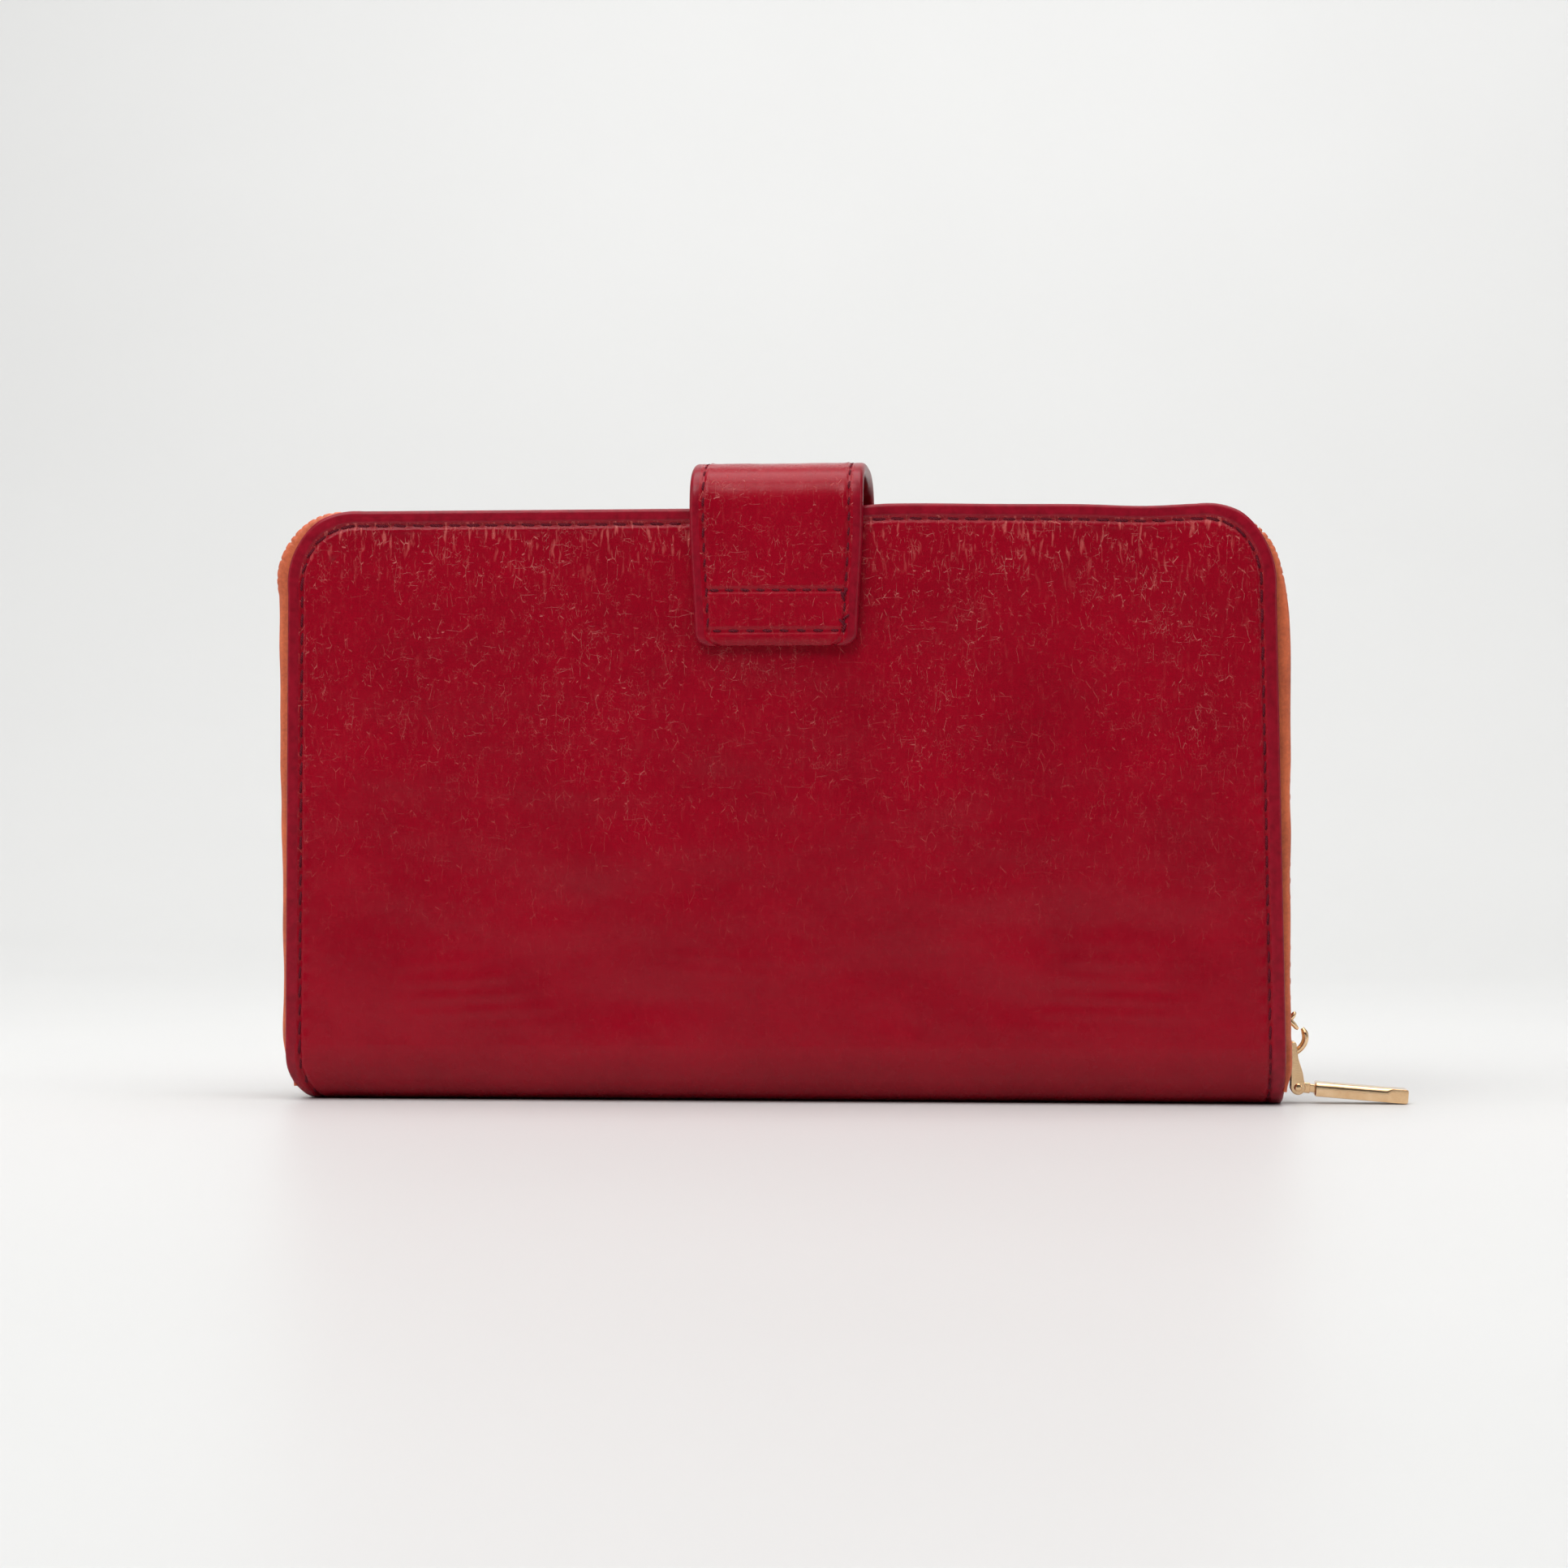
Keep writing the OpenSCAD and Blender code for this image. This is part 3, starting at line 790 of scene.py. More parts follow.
def strap_route():
    """Centre line of the strap in (y, z), from the sewn end over the top to the tip."""
    pts = [(-HALF_T - STRAP_T / 2, ANCHOR_LO[2])]
    n = 20
    for i in range(1, n + 1):
        pts.append((-HALF_T - STRAP_T / 2, ANCHOR_LO[2] + (TOP - ANCHOR_LO[2]) * i / n))
    rise = APEX - TOP - STRAP_T / 2 + 1.6
    half = HALF_T + STRAP_T / 2
    m = 56
    for i in range(1, m):
        a = math.pi * i / m
        c, s = math.cos(a), math.sin(a)
        pts.append((-half * square_off(c, 0.72), TOP + rise * s ** 0.62))
    for i in range(n + 8):
        pts.append((half + 0.1, TOP - (TOP - TIP_LO[2]) * i / (n + 7)))
    pts = np.array(pts)
    return pts, lengths(pts)


ROUTE, ROUTE_S = strap_route()
ANCHOR_END = TOP - ANCHOR_LO[2]
ROUTE_APEX = float(ROUTE_S[np.argmax(ROUTE[:, 1])])


def on_route(s):
    # the place on the route at length s, and the route's direction there
    e = 0.35
    y0, z0 = along(s - e, ROUTE_S, ROUTE)
    y1, z1 = along(s + e, ROUTE_S, ROUTE)
    dy, dz = y1 - y0, z1 - z0
    m = math.hypot(dy, dz)
    return along(s, ROUTE_S, ROUTE), (dy / m, dz / m)


def strap_half_width(s):
    total = ROUTE_S[-1]
    up = smooth_step(0, ANCHOR_END, s)
    half = STRAP_HALF - 1.05 * (1 - float(up))
    down = smooth_step(total - ANCHOR_END, total, s)
    half -= 1.0 * float(down)
    r = 2.4
    if s < r:
        half -= r - math.sqrt(max(0.0, r * r - (r - s) ** 2))
    r = 12.0
    if total - s < r:
        k = r - (total - s)
        half -= r - math.sqrt(max(0.0, r * r - k * k))
    return half


def strap_piece(name, s0, s1, body=None, blend=None, nodes=(), cap0=True, cap1=True):
    steps = max(4, int((s1 - s0) / 0.55))
    t = STRAP_T / 2
    round_r = 0.95
    rows, uvs = [], []
    total = ROUTE_S[-1]
    for i in range(steps + 1):
        s = s0 + (s1 - s0) * i / steps
        (y, z), (ty, tz) = on_route(s)
        oy, oz = -tz, ty
        half = strap_half_width(s)
        end = min(s, total - s)
        thin = 1.0 if end > 1.0 else 0.55 + 0.45 * math.sqrt(max(0, 1 - (1 - end) ** 2))
        prof = []
        for a in np.linspace(-90, 90, 9):
            q = math.radians(a)
            prof.append((half - round_r * (1 - math.cos(q)), t * thin * math.sin(q)))
        ins = [1.4, 1.9, 2.2, 2.45, 2.7, 2.95, 3.2, 3.5, 3.9, 4.6, 6.0, 8.0, 10.5, 13.0]
        top = []
        for d in ins:
            if half - d < 0.3:
                top.append((max(0.05, (half - d) * 0.2), t * thin))
                continue
            g = math.exp(-((d - STRAP_IN) / 0.34) ** 2)
            ph = math.cos(2 * math.pi * s / STRAP_PITCH)
            lift = -g * (0.26 + 0.14 * ph)
            lift += math.exp(-((d - STRAP_IN - 0.8) / 0.4) ** 2) * (0.10 + 0.07 * ph)
            lift += 0.09 * smooth_step(3.5, 8, d) * wander(d * 2, s, 11.0, 8.0)
            for seam in STRAP_SEAMS:
                if abs(s - seam) < 2.5 and s < ANCHOR_END:
                    g2 = (math.exp(-((s - seam) / 0.36) ** 2)
                          * float(smooth_step(2.4, 3.0, d)))
                    lift -= 0.30 * g2
                    lift += 0.10 * math.exp(-((abs(s - seam) - 0.85) / 0.4) ** 2)
            top.append((half - d, t * thin + float(lift)))
        right = prof + top
        left = [(-x, h) for x, h in reversed(top)] + [(-x, h) for x, h in reversed(prof)]
        ring = right + left
        row = []
        for x, h in ring:
            row.append((x, y + oy * h, z + oz * h))
            uvs.append((x + 230, s + (h - t) + 60))
        rows.append(row)
    v, f = tube(rows, True, False)
    n = len(rows[0])
    if cap0:
        f.append(tuple(range(n - 1, -1, -1)))
    if cap1:
        f.append(tuple((len(rows) - 1) * n + j for j in range(n)))
    f = outward(v, f) if cap0 and cap1 else f
    ob = make(name, v, f, uvs, RED, body, nodes, blend=blend)
    ob.data.materials.append(EDGE)
    edge_cols = set(range(0, 10)) | set(range(n - 11, n))
    for k, p in enumerate(ob.data.polygons):
        if k < (len(rows) - 1) * n and k % n in edge_cols:
            p.material_index = 1
    return ob


def strap_threads(name, s0, s1, body=None, blend=None, nodes=(), seams=False):
    pts, dirs, outs = [], [], []
    t = STRAP_T / 2
    k = math.ceil((s0 - 1.4) / STRAP_PITCH)
    while (k + 0.5) * STRAP_PITCH < s1:
        s = (k + 0.5) * STRAP_PITCH
        k += 1
        if s < max(s0, 3.0) or s > ROUTE_S[-1] - 3.0:
            continue
        (y, z), (ty, tz) = on_route(s)
        oy, oz = -tz, ty
        half = strap_half_width(s) - STRAP_IN
        if half < 3:
            continue
        for side in (-1, 1):
            pts.append((side * half, y + oy * (t - 0.22), z + oz * (t - 0.22)))
            dirs.append((0, ty, tz))
            outs.append((0, oy, oz))
    if seams:
        for seam in STRAP_SEAMS:
            half = strap_half_width(seam) - STRAP_IN
            n = int(2 * half / STRAP_PITCH)
            for j in range(n):
                x = -half + (j + 0.5) * 2 * half / n
                (y, z), _ = on_route(seam)
                pts.append((x, y - (t - 0.20), z))
                dirs.append((1, 0, 0))
                outs.append((0, -1, 0))
        # a few back-stitches and the tied-off ends at the zip side
        half = strap_half_width(6) - STRAP_IN
        for j, (dx, s, turn) in enumerate(((0.2, 10.2, 0.5), (-0.3, 9.4, -0.4), (0.4, 5.4, 0.9),
                                           (-0.4, 4.4, -0.8), (0.1, 3.4, 0.3))):
            (y, z), _ = on_route(s)
            pts.append((half + dx, y - (t - 0.02), z))
            dirs.append((math.sin(turn), 0, math.cos(turn)))
            outs.append((0, -1, 0))
    return sew(name, (pts, dirs, outs), (2.2, 0.24, 0.08), body, nodes, blend)


BACK_TO_STRAP = ("back", "strap_bridge", (0, -0.0166, (TOP - 0.5) * MM),
                 (0, -0.0085, (TOP + 7.5) * MM))
STRAP_TO_TIP = ("strap_bridge", "strap_end", (0, 0.0085, (TOP + 7.5) * MM),
                (0, 0.0166, (TOP - 0.5) * MM))
strap_piece("strap_sewn_end", 0.02, ANCHOR_END, "back", nodes=["strap_anchor"], cap1=False)
strap_piece("strap_over_top", ANCHOR_END, ROUTE_APEX, blend=BACK_TO_STRAP,
            nodes=["strap_arch"], cap0=False, cap1=False)
strap_piece("strap_free_end", ROUTE_APEX, ROUTE_S[-1] - 0.02, blend=STRAP_TO_TIP,
            nodes=["strap_tip"], cap0=False)
strap_threads("strap_thread_sewn", 0, ANCHOR_END, "back", nodes=["stitching_strap"], seams=True)
strap_threads("strap_thread_top", ANCHOR_END, ROUTE_APEX, blend=BACK_TO_STRAP)
strap_threads("strap_thread_free", ROUTE_APEX, ROUTE_S[-1], blend=STRAP_TO_TIP)


# ---------------------------------------------------------------- edge binding

def lean(x, z):
    """The side away from the slider draws in towards its foot, the other side below its
    upper corner."""
    if x > 0:
        return -1.0 * math.exp(-((z - TOP + 11) / 6.5) ** 2) * float(smooth_step(70, 88, x))
    return 0.9 * float(smooth_step(95, 22, z) * smooth_step(70, 90, -x))


def ring_sweep(path, profile, pleats=0.0, seed=0.0, wave=0.0, legs=None):
    """profile is a closed list of (distance in from the outer line, y). legs gives the
    height below which the strip narrows, its narrow share in both directions, and the
    height of its tapered end."""
    pts, nrm, s = path
    rows, uvs = [], []
    far = max(d for d, _ in profile)
    y_hi = max(y for _, y in profile)
    folds, at = [], 0.0
    while at < s[-1]:
        at += 1.7 + 0.9 * wander(at, 3.0, 1.3, seed)
        folds.append((at, 0.15 + 0.08 * wander(at, 1.0, 0.7, seed + 1),
                      1.0 + 0.9 * wander(at, 5.0, 0.9, seed + 2)))
    for i in range(len(pts)):
        corner = float(abs(nrm[i][0] * nrm[i][1]) * 2) ** 0.5
        crease = 0.0
        if corner > 0.05 and pleats:
            crease = sum(k * math.exp(-((s[i] - a) / w) ** 2) for a, w, k in folds
                         if abs(s[i] - a) < 1.2)
        slim, tuck, z_at = 0.0, 0.0, pts[i][1]
        if legs and z_at < legs[0]:
            slim = float(smooth_step(legs[0], legs[0] - 2.2, z_at))
            tuck = float(smooth_step(legs[3] + 6.5, legs[3], z_at)) ** 2
        row = []
        for d, y in profile:
            surface = smooth_step(3.4, 0.2, d)
            out = float(surface) * (-pleats * corner * crease
                                    + wave * (1 - tuck) * wander(s[i], y * 2, 9.0, seed + 3)
                                    + 0.25 * slim * (1 - tuck)
                                    + (1.75 * corner ** 2 if nrm[i][0] < 0 else 0.0))
            d2 = d * (1 - slim * (1 - legs[1])) if legs else d
            y2 = y_hi - (y_hi - y) * (1 - slim * (1 - legs[2])) if legs else y
            if tuck:
                d2 = d2 + tuck * (0.75 * far * legs[1] - d2) * 0.55
            x, z = pts[i] - nrm[i] * (d2 - out)
            if x > 0 or legs:
                x += lean(x, z)
            if x < 0 and legs:
                x += 1.3 * float(smooth_step(14, 2.8, z))
            row.append((x, y2, z))
            uvs.append((s[i], y * 3))
        rows.append(row)
    v, f = tube(rows)
    return v, outward(v, f), uvs


def rounded(d0, d1, y0, y1, r, n=4):
    """Closed outline of a rounded rectangle in (d, y)."""
    out = []
    for cd, cy, a0 in ((d1 - r, y1 - r, 0), (d0 + r, y1 - r, 90),
                       (d0 + r, y0 + r, 180), (d1 - r, y0 + r, 270)):
        for i in range(n + 1):
            a = math.radians(a0 + 90 * i / n)
            out.append((cd + r * math.cos(a), cy + r * math.sin(a)))
    return out


def ring_path(z0, step=0.6, inset=0.0):
    p, n, s, *_ = u_path(RING_W - inset, RING_TOP - inset, RING_R - inset, z0, step)
    return p, n, s


def binding(name, lo, hi, z0, body, node, seed):
    """A folded strip round the pouch edge: two leaves and a rolled fold."""
    y0, y1 = lo[1], hi[1]
    path = ring_path(z0, 0.34)
    outer = rounded(0.0, 4.0, y0 + 0.05, y1 - 0.05, 1.15, 5)
    legs = (13.5, 0.44, 0.70, z0) if z0 < PANEL_Z0 - 4 else None
    v, f, uv = ring_sweep(path, outer, 0.30, seed, 0.22, legs)
    return make(name, v, f, uv, ORANGE, body, [node])


binding("pouch_binding_rear", RING_LO, RING_HI, 2.6, "back", "binding_back", 2.0)
binding("pouch_binding_front", FRONT_LO, FRONT_HI, FRONT_LO[2], "leaf", "binding_front", 6.0)


def binding_threads(name, hi, z0, body):
    base, nrm, _ = ring_path(z0, 0.3)
    cum = lengths(base)
    pts, dirs, outs = [], [], []
    y = hi[1] - 0.75
    line = base - nrm * 0.12
    at = 2.0
    while at < cum[-1] - 2:
        x, z = along(at, cum, line)
        nx, nz = along(at, cum, nrm)
        m = math.hypot(nx, nz)
        drawn = lean(x, z) if x > 0 or body == "back" else 0.0
        pts.append((x + drawn, y, z))
        outs.append((nx / m, 0, nz / m))
        dirs.append((nz / m, 0, -nx / m))
        at += 3.2
    return sew(name, (pts, dirs, outs), (2.4, 0.2, 0.05), body, material=THREAD_ORANGE)


binding_threads("pouch_thread_rear", RING_HI, 14.0, "back")
binding_threads("pouch_thread_front", FRONT_HI, 14.0, "leaf")


# ---------------------------------------------------------------- zip

def tape(name, y0, y1, z0, body, node):
    v, f, uv = ring_sweep(ring_path(z0, 0.9), rounded(2.62, 3.08, y0, y1, 0.2, 2))
    return make(name, v, f, uv, TAPE, body, [node])


TAPE_B = node_box("zip_tape_back")
TAPE_F = node_box("zip_tape_front")
tape("zip_tape_rear", TAPE_B[0][1] - 0.6, TAPE_B[1][1], TAPE_B[0][2], "back", "zip_tape_back")
tape("zip_tape_open_side", TAPE_F[0][1], TAPE_F[1][1] + 0.6, TAPE_F[0][2], "leaf",
     "zip_tape_front")

CHAIN_MID = (CHAIN_B_HI[1] + CHAIN_F_LO[1]) / 2
TOOTH_PITCH = 1.5


def zip_teeth(name, side, z0, body, node):
    """Coil teeth round the ring. side -1 is the rear half."""
    base, nrm, _ = ring_path(z0, 0.4, 1.8)
    cum = lengths(base)
    parts = []
    at = 0.8 + (0.5 * TOOTH_PITCH if side > 0 else 0)
    while at < cum[-1] - 0.5:
        x, z = along(at, cum, base)
        nx, nz = along(at, cum, nrm)
        m = math.hypot(nx, nz)
        n3 = np.array((nx / m, 0, nz / m))
        d3 = np.array((nz / m, 0, -nx / m))
        c = np.array((x + lean(x, z), 0, z))
        rings = []
        for y, size, thick in ((-2.95, 0.30, 0.45), (-2.8, 0.40, 0.62), (-2.0, 0.42, 0.70),
                               (-0.8, 0.42, 0.72), (0.0, 0.46, 0.76), (0.28, 0.40, 0.66),
                               (0.36, 0.22, 0.40)):
            yy = CHAIN_MID + side * -y
            rings.append([c + np.array((0, yy, 0)) + d3 * (size * 1.25 * math.cos(q))
                          + n3 * (thick * math.sin(q))
                          for q in around(8)])
        parts.append(skin(rings))
        at += TOOTH_PITCH
    core = []
    for p, n in zip(base, nrm):
        row = []
        for q in around(6):
            d = 0.45 * math.cos(q)
            row.append((p[0] + lean(*p) + n[0] * d,
                        CHAIN_MID + side * (1.55 + 0.55 * math.sin(q)), p[1] + n[1] * d))
        core.append(row)
    parts.append(skin(core))
    v, f, _ = merge(parts)
    return make(name, v, f, None, COIL, body, [node])


zip_teeth("zip_teeth_rear", -1, CHAIN_B_LO[2], "back", "zip_chain_back")
zip_teeth("zip_teeth_front", 1, CHAIN_F_LO[2], "leaf", "zip_chain_front")


# ---------------------------------------------------------------- sheets in the pouch

def rolled(a0, a1, r, n):
    """Places from a0 to a1: closer together over the rolled edges of radius r."""
    ends = [r * (1 - math.cos(math.radians(a))) for a in (0, 30, 60, 90)]
    return ([a0 + e for e in ends] + list(np.linspace(a0 + r, a1 - r, n + 1)[1:-1])
            + [a1 - e for e in reversed(ends)])


def sheet_block(name, node, material, body, wave, seed, step=2.4, edge=None, face=0,
                top_dip=0.0):
    """A flat sheet the size of its node with rolled edges and a soft, uneven face. face
    says which side waves."""
    (x0, y0, z0), (x1, y1, z1) = node_box(node)
    r = edge if edge is not None else (y1 - y0) / 2
    nx, nz = max(4, int((x1 - x0) / step)), max(4, int((z1 - z0) / step))
    xs, zs = rolled(x0, x1, r, nx), rolled(z0, z1, r, nz)
    mid, half = (y0 + y1) / 2, (y1 - y0) / 2

    def bulge(x, z):
        e = min(x - x0, x1 - x, z - z0, z1 - z)
        q = min(1.0, max(0.0, e / r))
        return half * math.sqrt(max(0.0, 1 - (1 - q) ** 2))

    verts, uvs = [], []
    for sgn in (-1, 1):
        for z in zs:
            for x in xs:
                b = bulge(x, z)
                soft = wave * wander(x, z, 22.0, seed) * min(1.0, b / half)
                y = mid + sgn * b + (soft if face == 0 or face == sgn else 0)
                t = (z - z0) / (z1 - z0)
                drop = top_dip * t * math.exp(-((x - (x0 + x1) / 2) / 9.0) ** 2)
                verts.append((x, y, z - drop))
                uvs.append((x, z))
    w, h = len(xs), len(zs)
    faces = bands(h, w)
    faces += [tuple(w * h + i for i in reversed(f)) for f in faces]
    rim = (list(range(w)) + [i * w + w - 1 for i in range(1, h)]
           + [(h - 1) * w + j for j in range(w - 2, -1, -1)]
           + [i * w for i in range(h - 2, 0, -1)])
    for a, b in zip(rim, rim[1:] + rim[:1]):
        faces.append((a, a + w * h, b + w * h, b))
    return make(name, verts, outward(verts, faces), uvs, material, body, [node])


def u_sheet(name, node, r, material, body, seed, wave=0.1):
    """A flat sheet the size of its node with round top corners of radius r."""
    (_, y0, z0), (w, y1, top) = node_box(node)
    half, mid = (y1 - y0) / 2, (y0 + y1) / 2
    base, nrm, _, leg, arc, flat = u_path(w, top, r, z0, 2.2)
    n_side, n_top, n = leg + arc // 2, flat + arc, len(base)
    verts, uvs = [], []
    prof = [(half * (1 - math.cos(math.radians(a))), half * math.sin(math.radians(a)))
            for a in (-90, -50, -20, 20, 50, 90)]
    for d, h in prof:
        for i in range(n):
            x, z = base[i] - nrm[i] * d
            verts.append((x, mid + h, z))
            uvs.append((x, z))
    faces, feet = bands(len(prof), n), []
    for k, flip in ((0, True), (len(prof) - 1, False)):
        grid = inner_grid(base, nrm, prof[k][0], n_side, n_top)
        index = rim_index(k * n, n, n_side, n_top)
        for i in range(n_side + 1):
            for j in range(n_top + 1):
                if index[i, j] < 0:
                    x, z = grid[i, j]
                    soft = wave * wander(x, z, 20.0, seed)
                    index[i, j] = len(verts)
                    verts.append((x, mid + prof[k][1] + soft, z))
                    uvs.append((x, z))
        faces += [tuple(reversed(q)) if flip else q for q in quads(index)]
        feet.append(list(index[0]))
    for a, b, c, d in zip(feet[0], feet[0][1:], feet[1][1:], feet[1]):
        faces.append((a, b, c, d))
    return make(name, verts, faces, uvs, material, body, [node])


u_sheet("pouch_wall_rear", "pouch_back_wall", 12.0, ORANGE_WALL, "back",
        3.0)
u_sheet("pouch_wall_front", "pouch_front_wall", 12.0, ORANGE_WALL, "leaf",
        4.0)
u_sheet("flap_lining_cloth", "flap_lining", 14.0, LINING, "flap", 5.0, wave=0.05)
sheet_block("pouch_divider_leaf", "pouch_divider", ORANGE_WALL, "back",
            0.25, 7.0)
sheet_block("pouch_floor_leaf", "pouch_floor", ORANGE_WALL, "back",
            0.0, 8.0, edge=0.45)


def card_slot(node, body, face, seed, notch):
    lo, hi = node_box(node)
    sheet_block(node + "_leather", node, RED_PLAIN, body, 0.05, seed, step=1.8,
                face=face, top_dip=notch)
    y = hi[1] if face > 0 else lo[1]
    pts, dirs, outs = [], [], []
    n = int((hi[0] - lo[0] - 6) / 3.2)
    for i in range(n):
        x = lo[0] + 3 + (i + 0.5) * (hi[0] - lo[0] - 6) / n
        drop = notch * math.exp(-((x - (lo[0] + hi[0]) / 2) / 9.0) ** 2)
        pts.append((x, y, hi[2] - 2.2 - drop * 0.97))
        dirs.append((1, 0, 0))
        outs.append((0, face, 0))
    sew(node + "_thread", (pts, dirs, outs), (2.4, 0.2, 0.02), body)


for i in range(1, 5):
    card_slot("card_slot_inner_%d" % i, "leaf", 1, 10.0 + i, 0.0 if i == 1 else 1.6)
    card_slot("card_slot_flap_%d" % i, "flap", -1, 20.0 + i, 0.0 if i == 1 else 1.6)


def gusset(name, side, node):
    lo, hi = node_box(node)
    inner, outer = (lo[0], hi[0]) if side > 0 else (hi[0], lo[0])
    y0, y1 = lo[1], hi[1]
    rows, uvs = [], []
    nz, folds, thick = 34, 15, 0.25
    for k in range(nz + 1):
        z = lo[2] + (hi[2] - lo[2]) * k / nz
        line = []
        for i in range(folds + 1):
            t = i / folds
            bend = 1 - abs(2 * t - 1)
            x = outer + (inner - outer) * (bend ** 0.85)
            y = y0 + 0.3 + (y1 - y0 - 0.6) * t
            x += side * 0.25 * wander(z, y * 3, 8.0, 3.0)
            line.append((x, y))
        row = [(x + side * thick, y, z) for x, y in line]
        row += [(x - side * thick, y, z) for x, y in reversed(line)]
        rows.append(row)
        uvs += [(p[1] * 2, z) for p in row]
    v, f = tube(rows)
    return make(name, v, outward(v, f), uvs, ORANGE_WALL, None, [node],
                blend=("back", "leaf", (0, y0 * MM, 0.04), (0, y1 * MM, 0.04)))


gusset("pouch_gusset_right", 1, "gusset_right")
gusset("pouch_gusset_left", -1, "gusset_left")

for n in ("board_back", "board_flap"):
    frame["nodes"][n].data.materials.clear()
    frame["nodes"][n].data.materials.append(BOARD)


# ---------------------------------------------------------------- hardware

def lathe(profile, centre, axis, n=40):
    """profile is (radius, distance along axis) pairs from one pole to the other."""
    axis = np.array(axis, float)
    a = np.array((1.0, 0, 0)) if abs(axis[0]) < 0.9 else np.array((0, 0, 1.0))
    b = np.cross(axis, a)
    rings = []
    for r, h in profile:
        rings.append([np.array(centre) + axis * h + r * (math.cos(q) * a + math.sin(q) * b)
                      for q in around(n)])
    return skin(rings)


def gold(name, parts, body, node, split_caps=True):
    v, f, _ = merge(parts)
    return make(name, v, f, None, GOLD, body, [node], split_caps=split_caps)


snap_c = (0.0, HALF_T, SNAP_Z)
v, f = lathe([(2.12, -1.3), (5.4, -1.3), (5.5, -0.6), (5.85, -0.05), (6.0, 0.08), (5.9, 0.2),
              (5.2, 0.26), (4.2, 0.12), (3.4, 0.12), (2.9, 0.24), (2.4, 0.2), (2.12, 0.0),
              (2.12, -1.3)], snap_c, (0, 1, 0))
gold("snap_socket_ring", [(v, f[:-2])], "flap", "snap_socket")
v, f = lathe([(0.02, -2.35), (4.9, -2.35), (4.95, -1.5), (0.02, -1.45)], snap_c, (0, 1, 0))
gold("snap_post_plate", [(v, f)], "flap", "snap_post")
v, f = lathe([(0.02, -1.0), (1.2, -0.98), (1.75, -0.8), (1.95, -0.5), (1.8, -0.2),
              (1.7, 0.0), (1.75, 0.3), (3.6, 0.3), (3.7, 0.5), (0.02, 0.6)], snap_c, (0, 1, 0))
gold("snap_stud_pin", [(v, f)], "strap_end", "snap_stud")
v, f = lathe([(0.02, 2.2), (6.0, 2.2), (6.2, 2.4), (6.1, 2.7), (5.6, 2.95), (4.6, 3.12),
              (3.0, 3.24), (1.5, 3.3), (0.02, 3.32)], snap_c, (0, 1, 0))
gold("snap_cap_dome", [(v, f)], "strap_end", "snap_cap")


def joint_at(name):
    """Where a joint's axis lies, in millimetres."""
    return [c * 1000 for c in next(j for j in frame["joints"] if j["name"] == name)["pos_m"]]


LINK = node_box("pull_link")
PIN = node_box("pull_pin")
PULL = node_box("pull_bar")
SLIDER = node_box("slider_body")
LINK_PIVOT = joint_at("link_swing")
PIN_AT = joint_at("pull_swing")
PLATE_X = SLIDER[1][0]


def rod(path, width, thick, n=14, power=3.0, taper=None):
    """Sweeps a soft-cornered bar along points in the X-Z plane, at the chain's middle."""
    pts = np.array(path, float)
    rings = []
    for i, p in enumerate(pts):
        a = pts[max(0, i - 1)]
        b = pts[min(len(pts) - 1, i + 1)]
        d = (b - a) / np.linalg.norm(b - a)
        nv = np.array((-d[1], d[0]))
        k = 1.0 if taper is None else taper(i / (len(pts) - 1))
        ring = []
        for q in around(n):
            c, s = math.cos(q), math.sin(q)
            e = 2 / power
            u = thick / 2 * k * square_off(c, e)
            w = width / 2 * k * square_off(s, e)
            ring.append((p[0] + nv[0] * u, CHAIN_MID + w, p[1] + nv[1] * u))
        rings.append(ring)
    return skin(rings)


def arc_points(cx, cz, r, a0, a1, n):
    return [(cx + r * math.cos(math.radians(a)), cz + r * math.sin(math.radians(a)))
            for a in np.linspace(a0, a1, n)]


def bezier(a, b, c, d, n):
    out = []
    for t in np.linspace(0, 1, n):
        w = ((1 - t) ** 3, 3 * t * (1 - t) ** 2, 3 * t * t * (1 - t), t ** 3)
        out.append(tuple(sum(k * q[i] for k, q in zip(w, (a, b, c, d))) for i in range(2)))
    return out


CROWN_Z = LINK_PIVOT[2] + 1.126
hook = bezier((PLATE_X - 0.5, CROWN_Z - 3.2), (PLATE_X + 2.6, CROWN_Z - 2.5),
              (PLATE_X + 3.9, CROWN_Z + 0.1), (PLATE_X + 2.4, CROWN_Z + 2.0), 22)
hook = rod(hook, 2.2, 1.3, 16, 2.6, lambda t: 1 - 0.45 * max(0.0, t - 0.85) / 0.15)
claw = [(PLATE_X - 0.35, CROWN_Z + 3.6), (PLATE_X + 0.35, CROWN_Z + 3.15),
        (PLATE_X + 0.9, CROWN_Z + 2.6), (PLATE_X + 1.35, CROWN_Z + 2.05),
        (PLATE_X + 1.62, CROWN_Z + 1.8)]
claw = rod(claw, 2.2, 1.15, 16, 3.0, lambda t: 1 - 0.55 * t * t)
knob = [(PLATE_X - 0.3, CROWN_Z + 3.4), (PLATE_X + 0.35, CROWN_Z + 4.0),
        (PLATE_X + 0.75, CROWN_Z + 4.5), (PLATE_X + 0.95, CROWN_Z + 4.95),
        (PLATE_X + 0.85, CROWN_Z + 5.2)]
knob = rod(knob, 1.8, 1.1, 14, 2.2, lambda t: 1 - 0.6 * t ** 3)
gold("slider_bridge", [hook, claw, knob], "slider", "slider_crown")


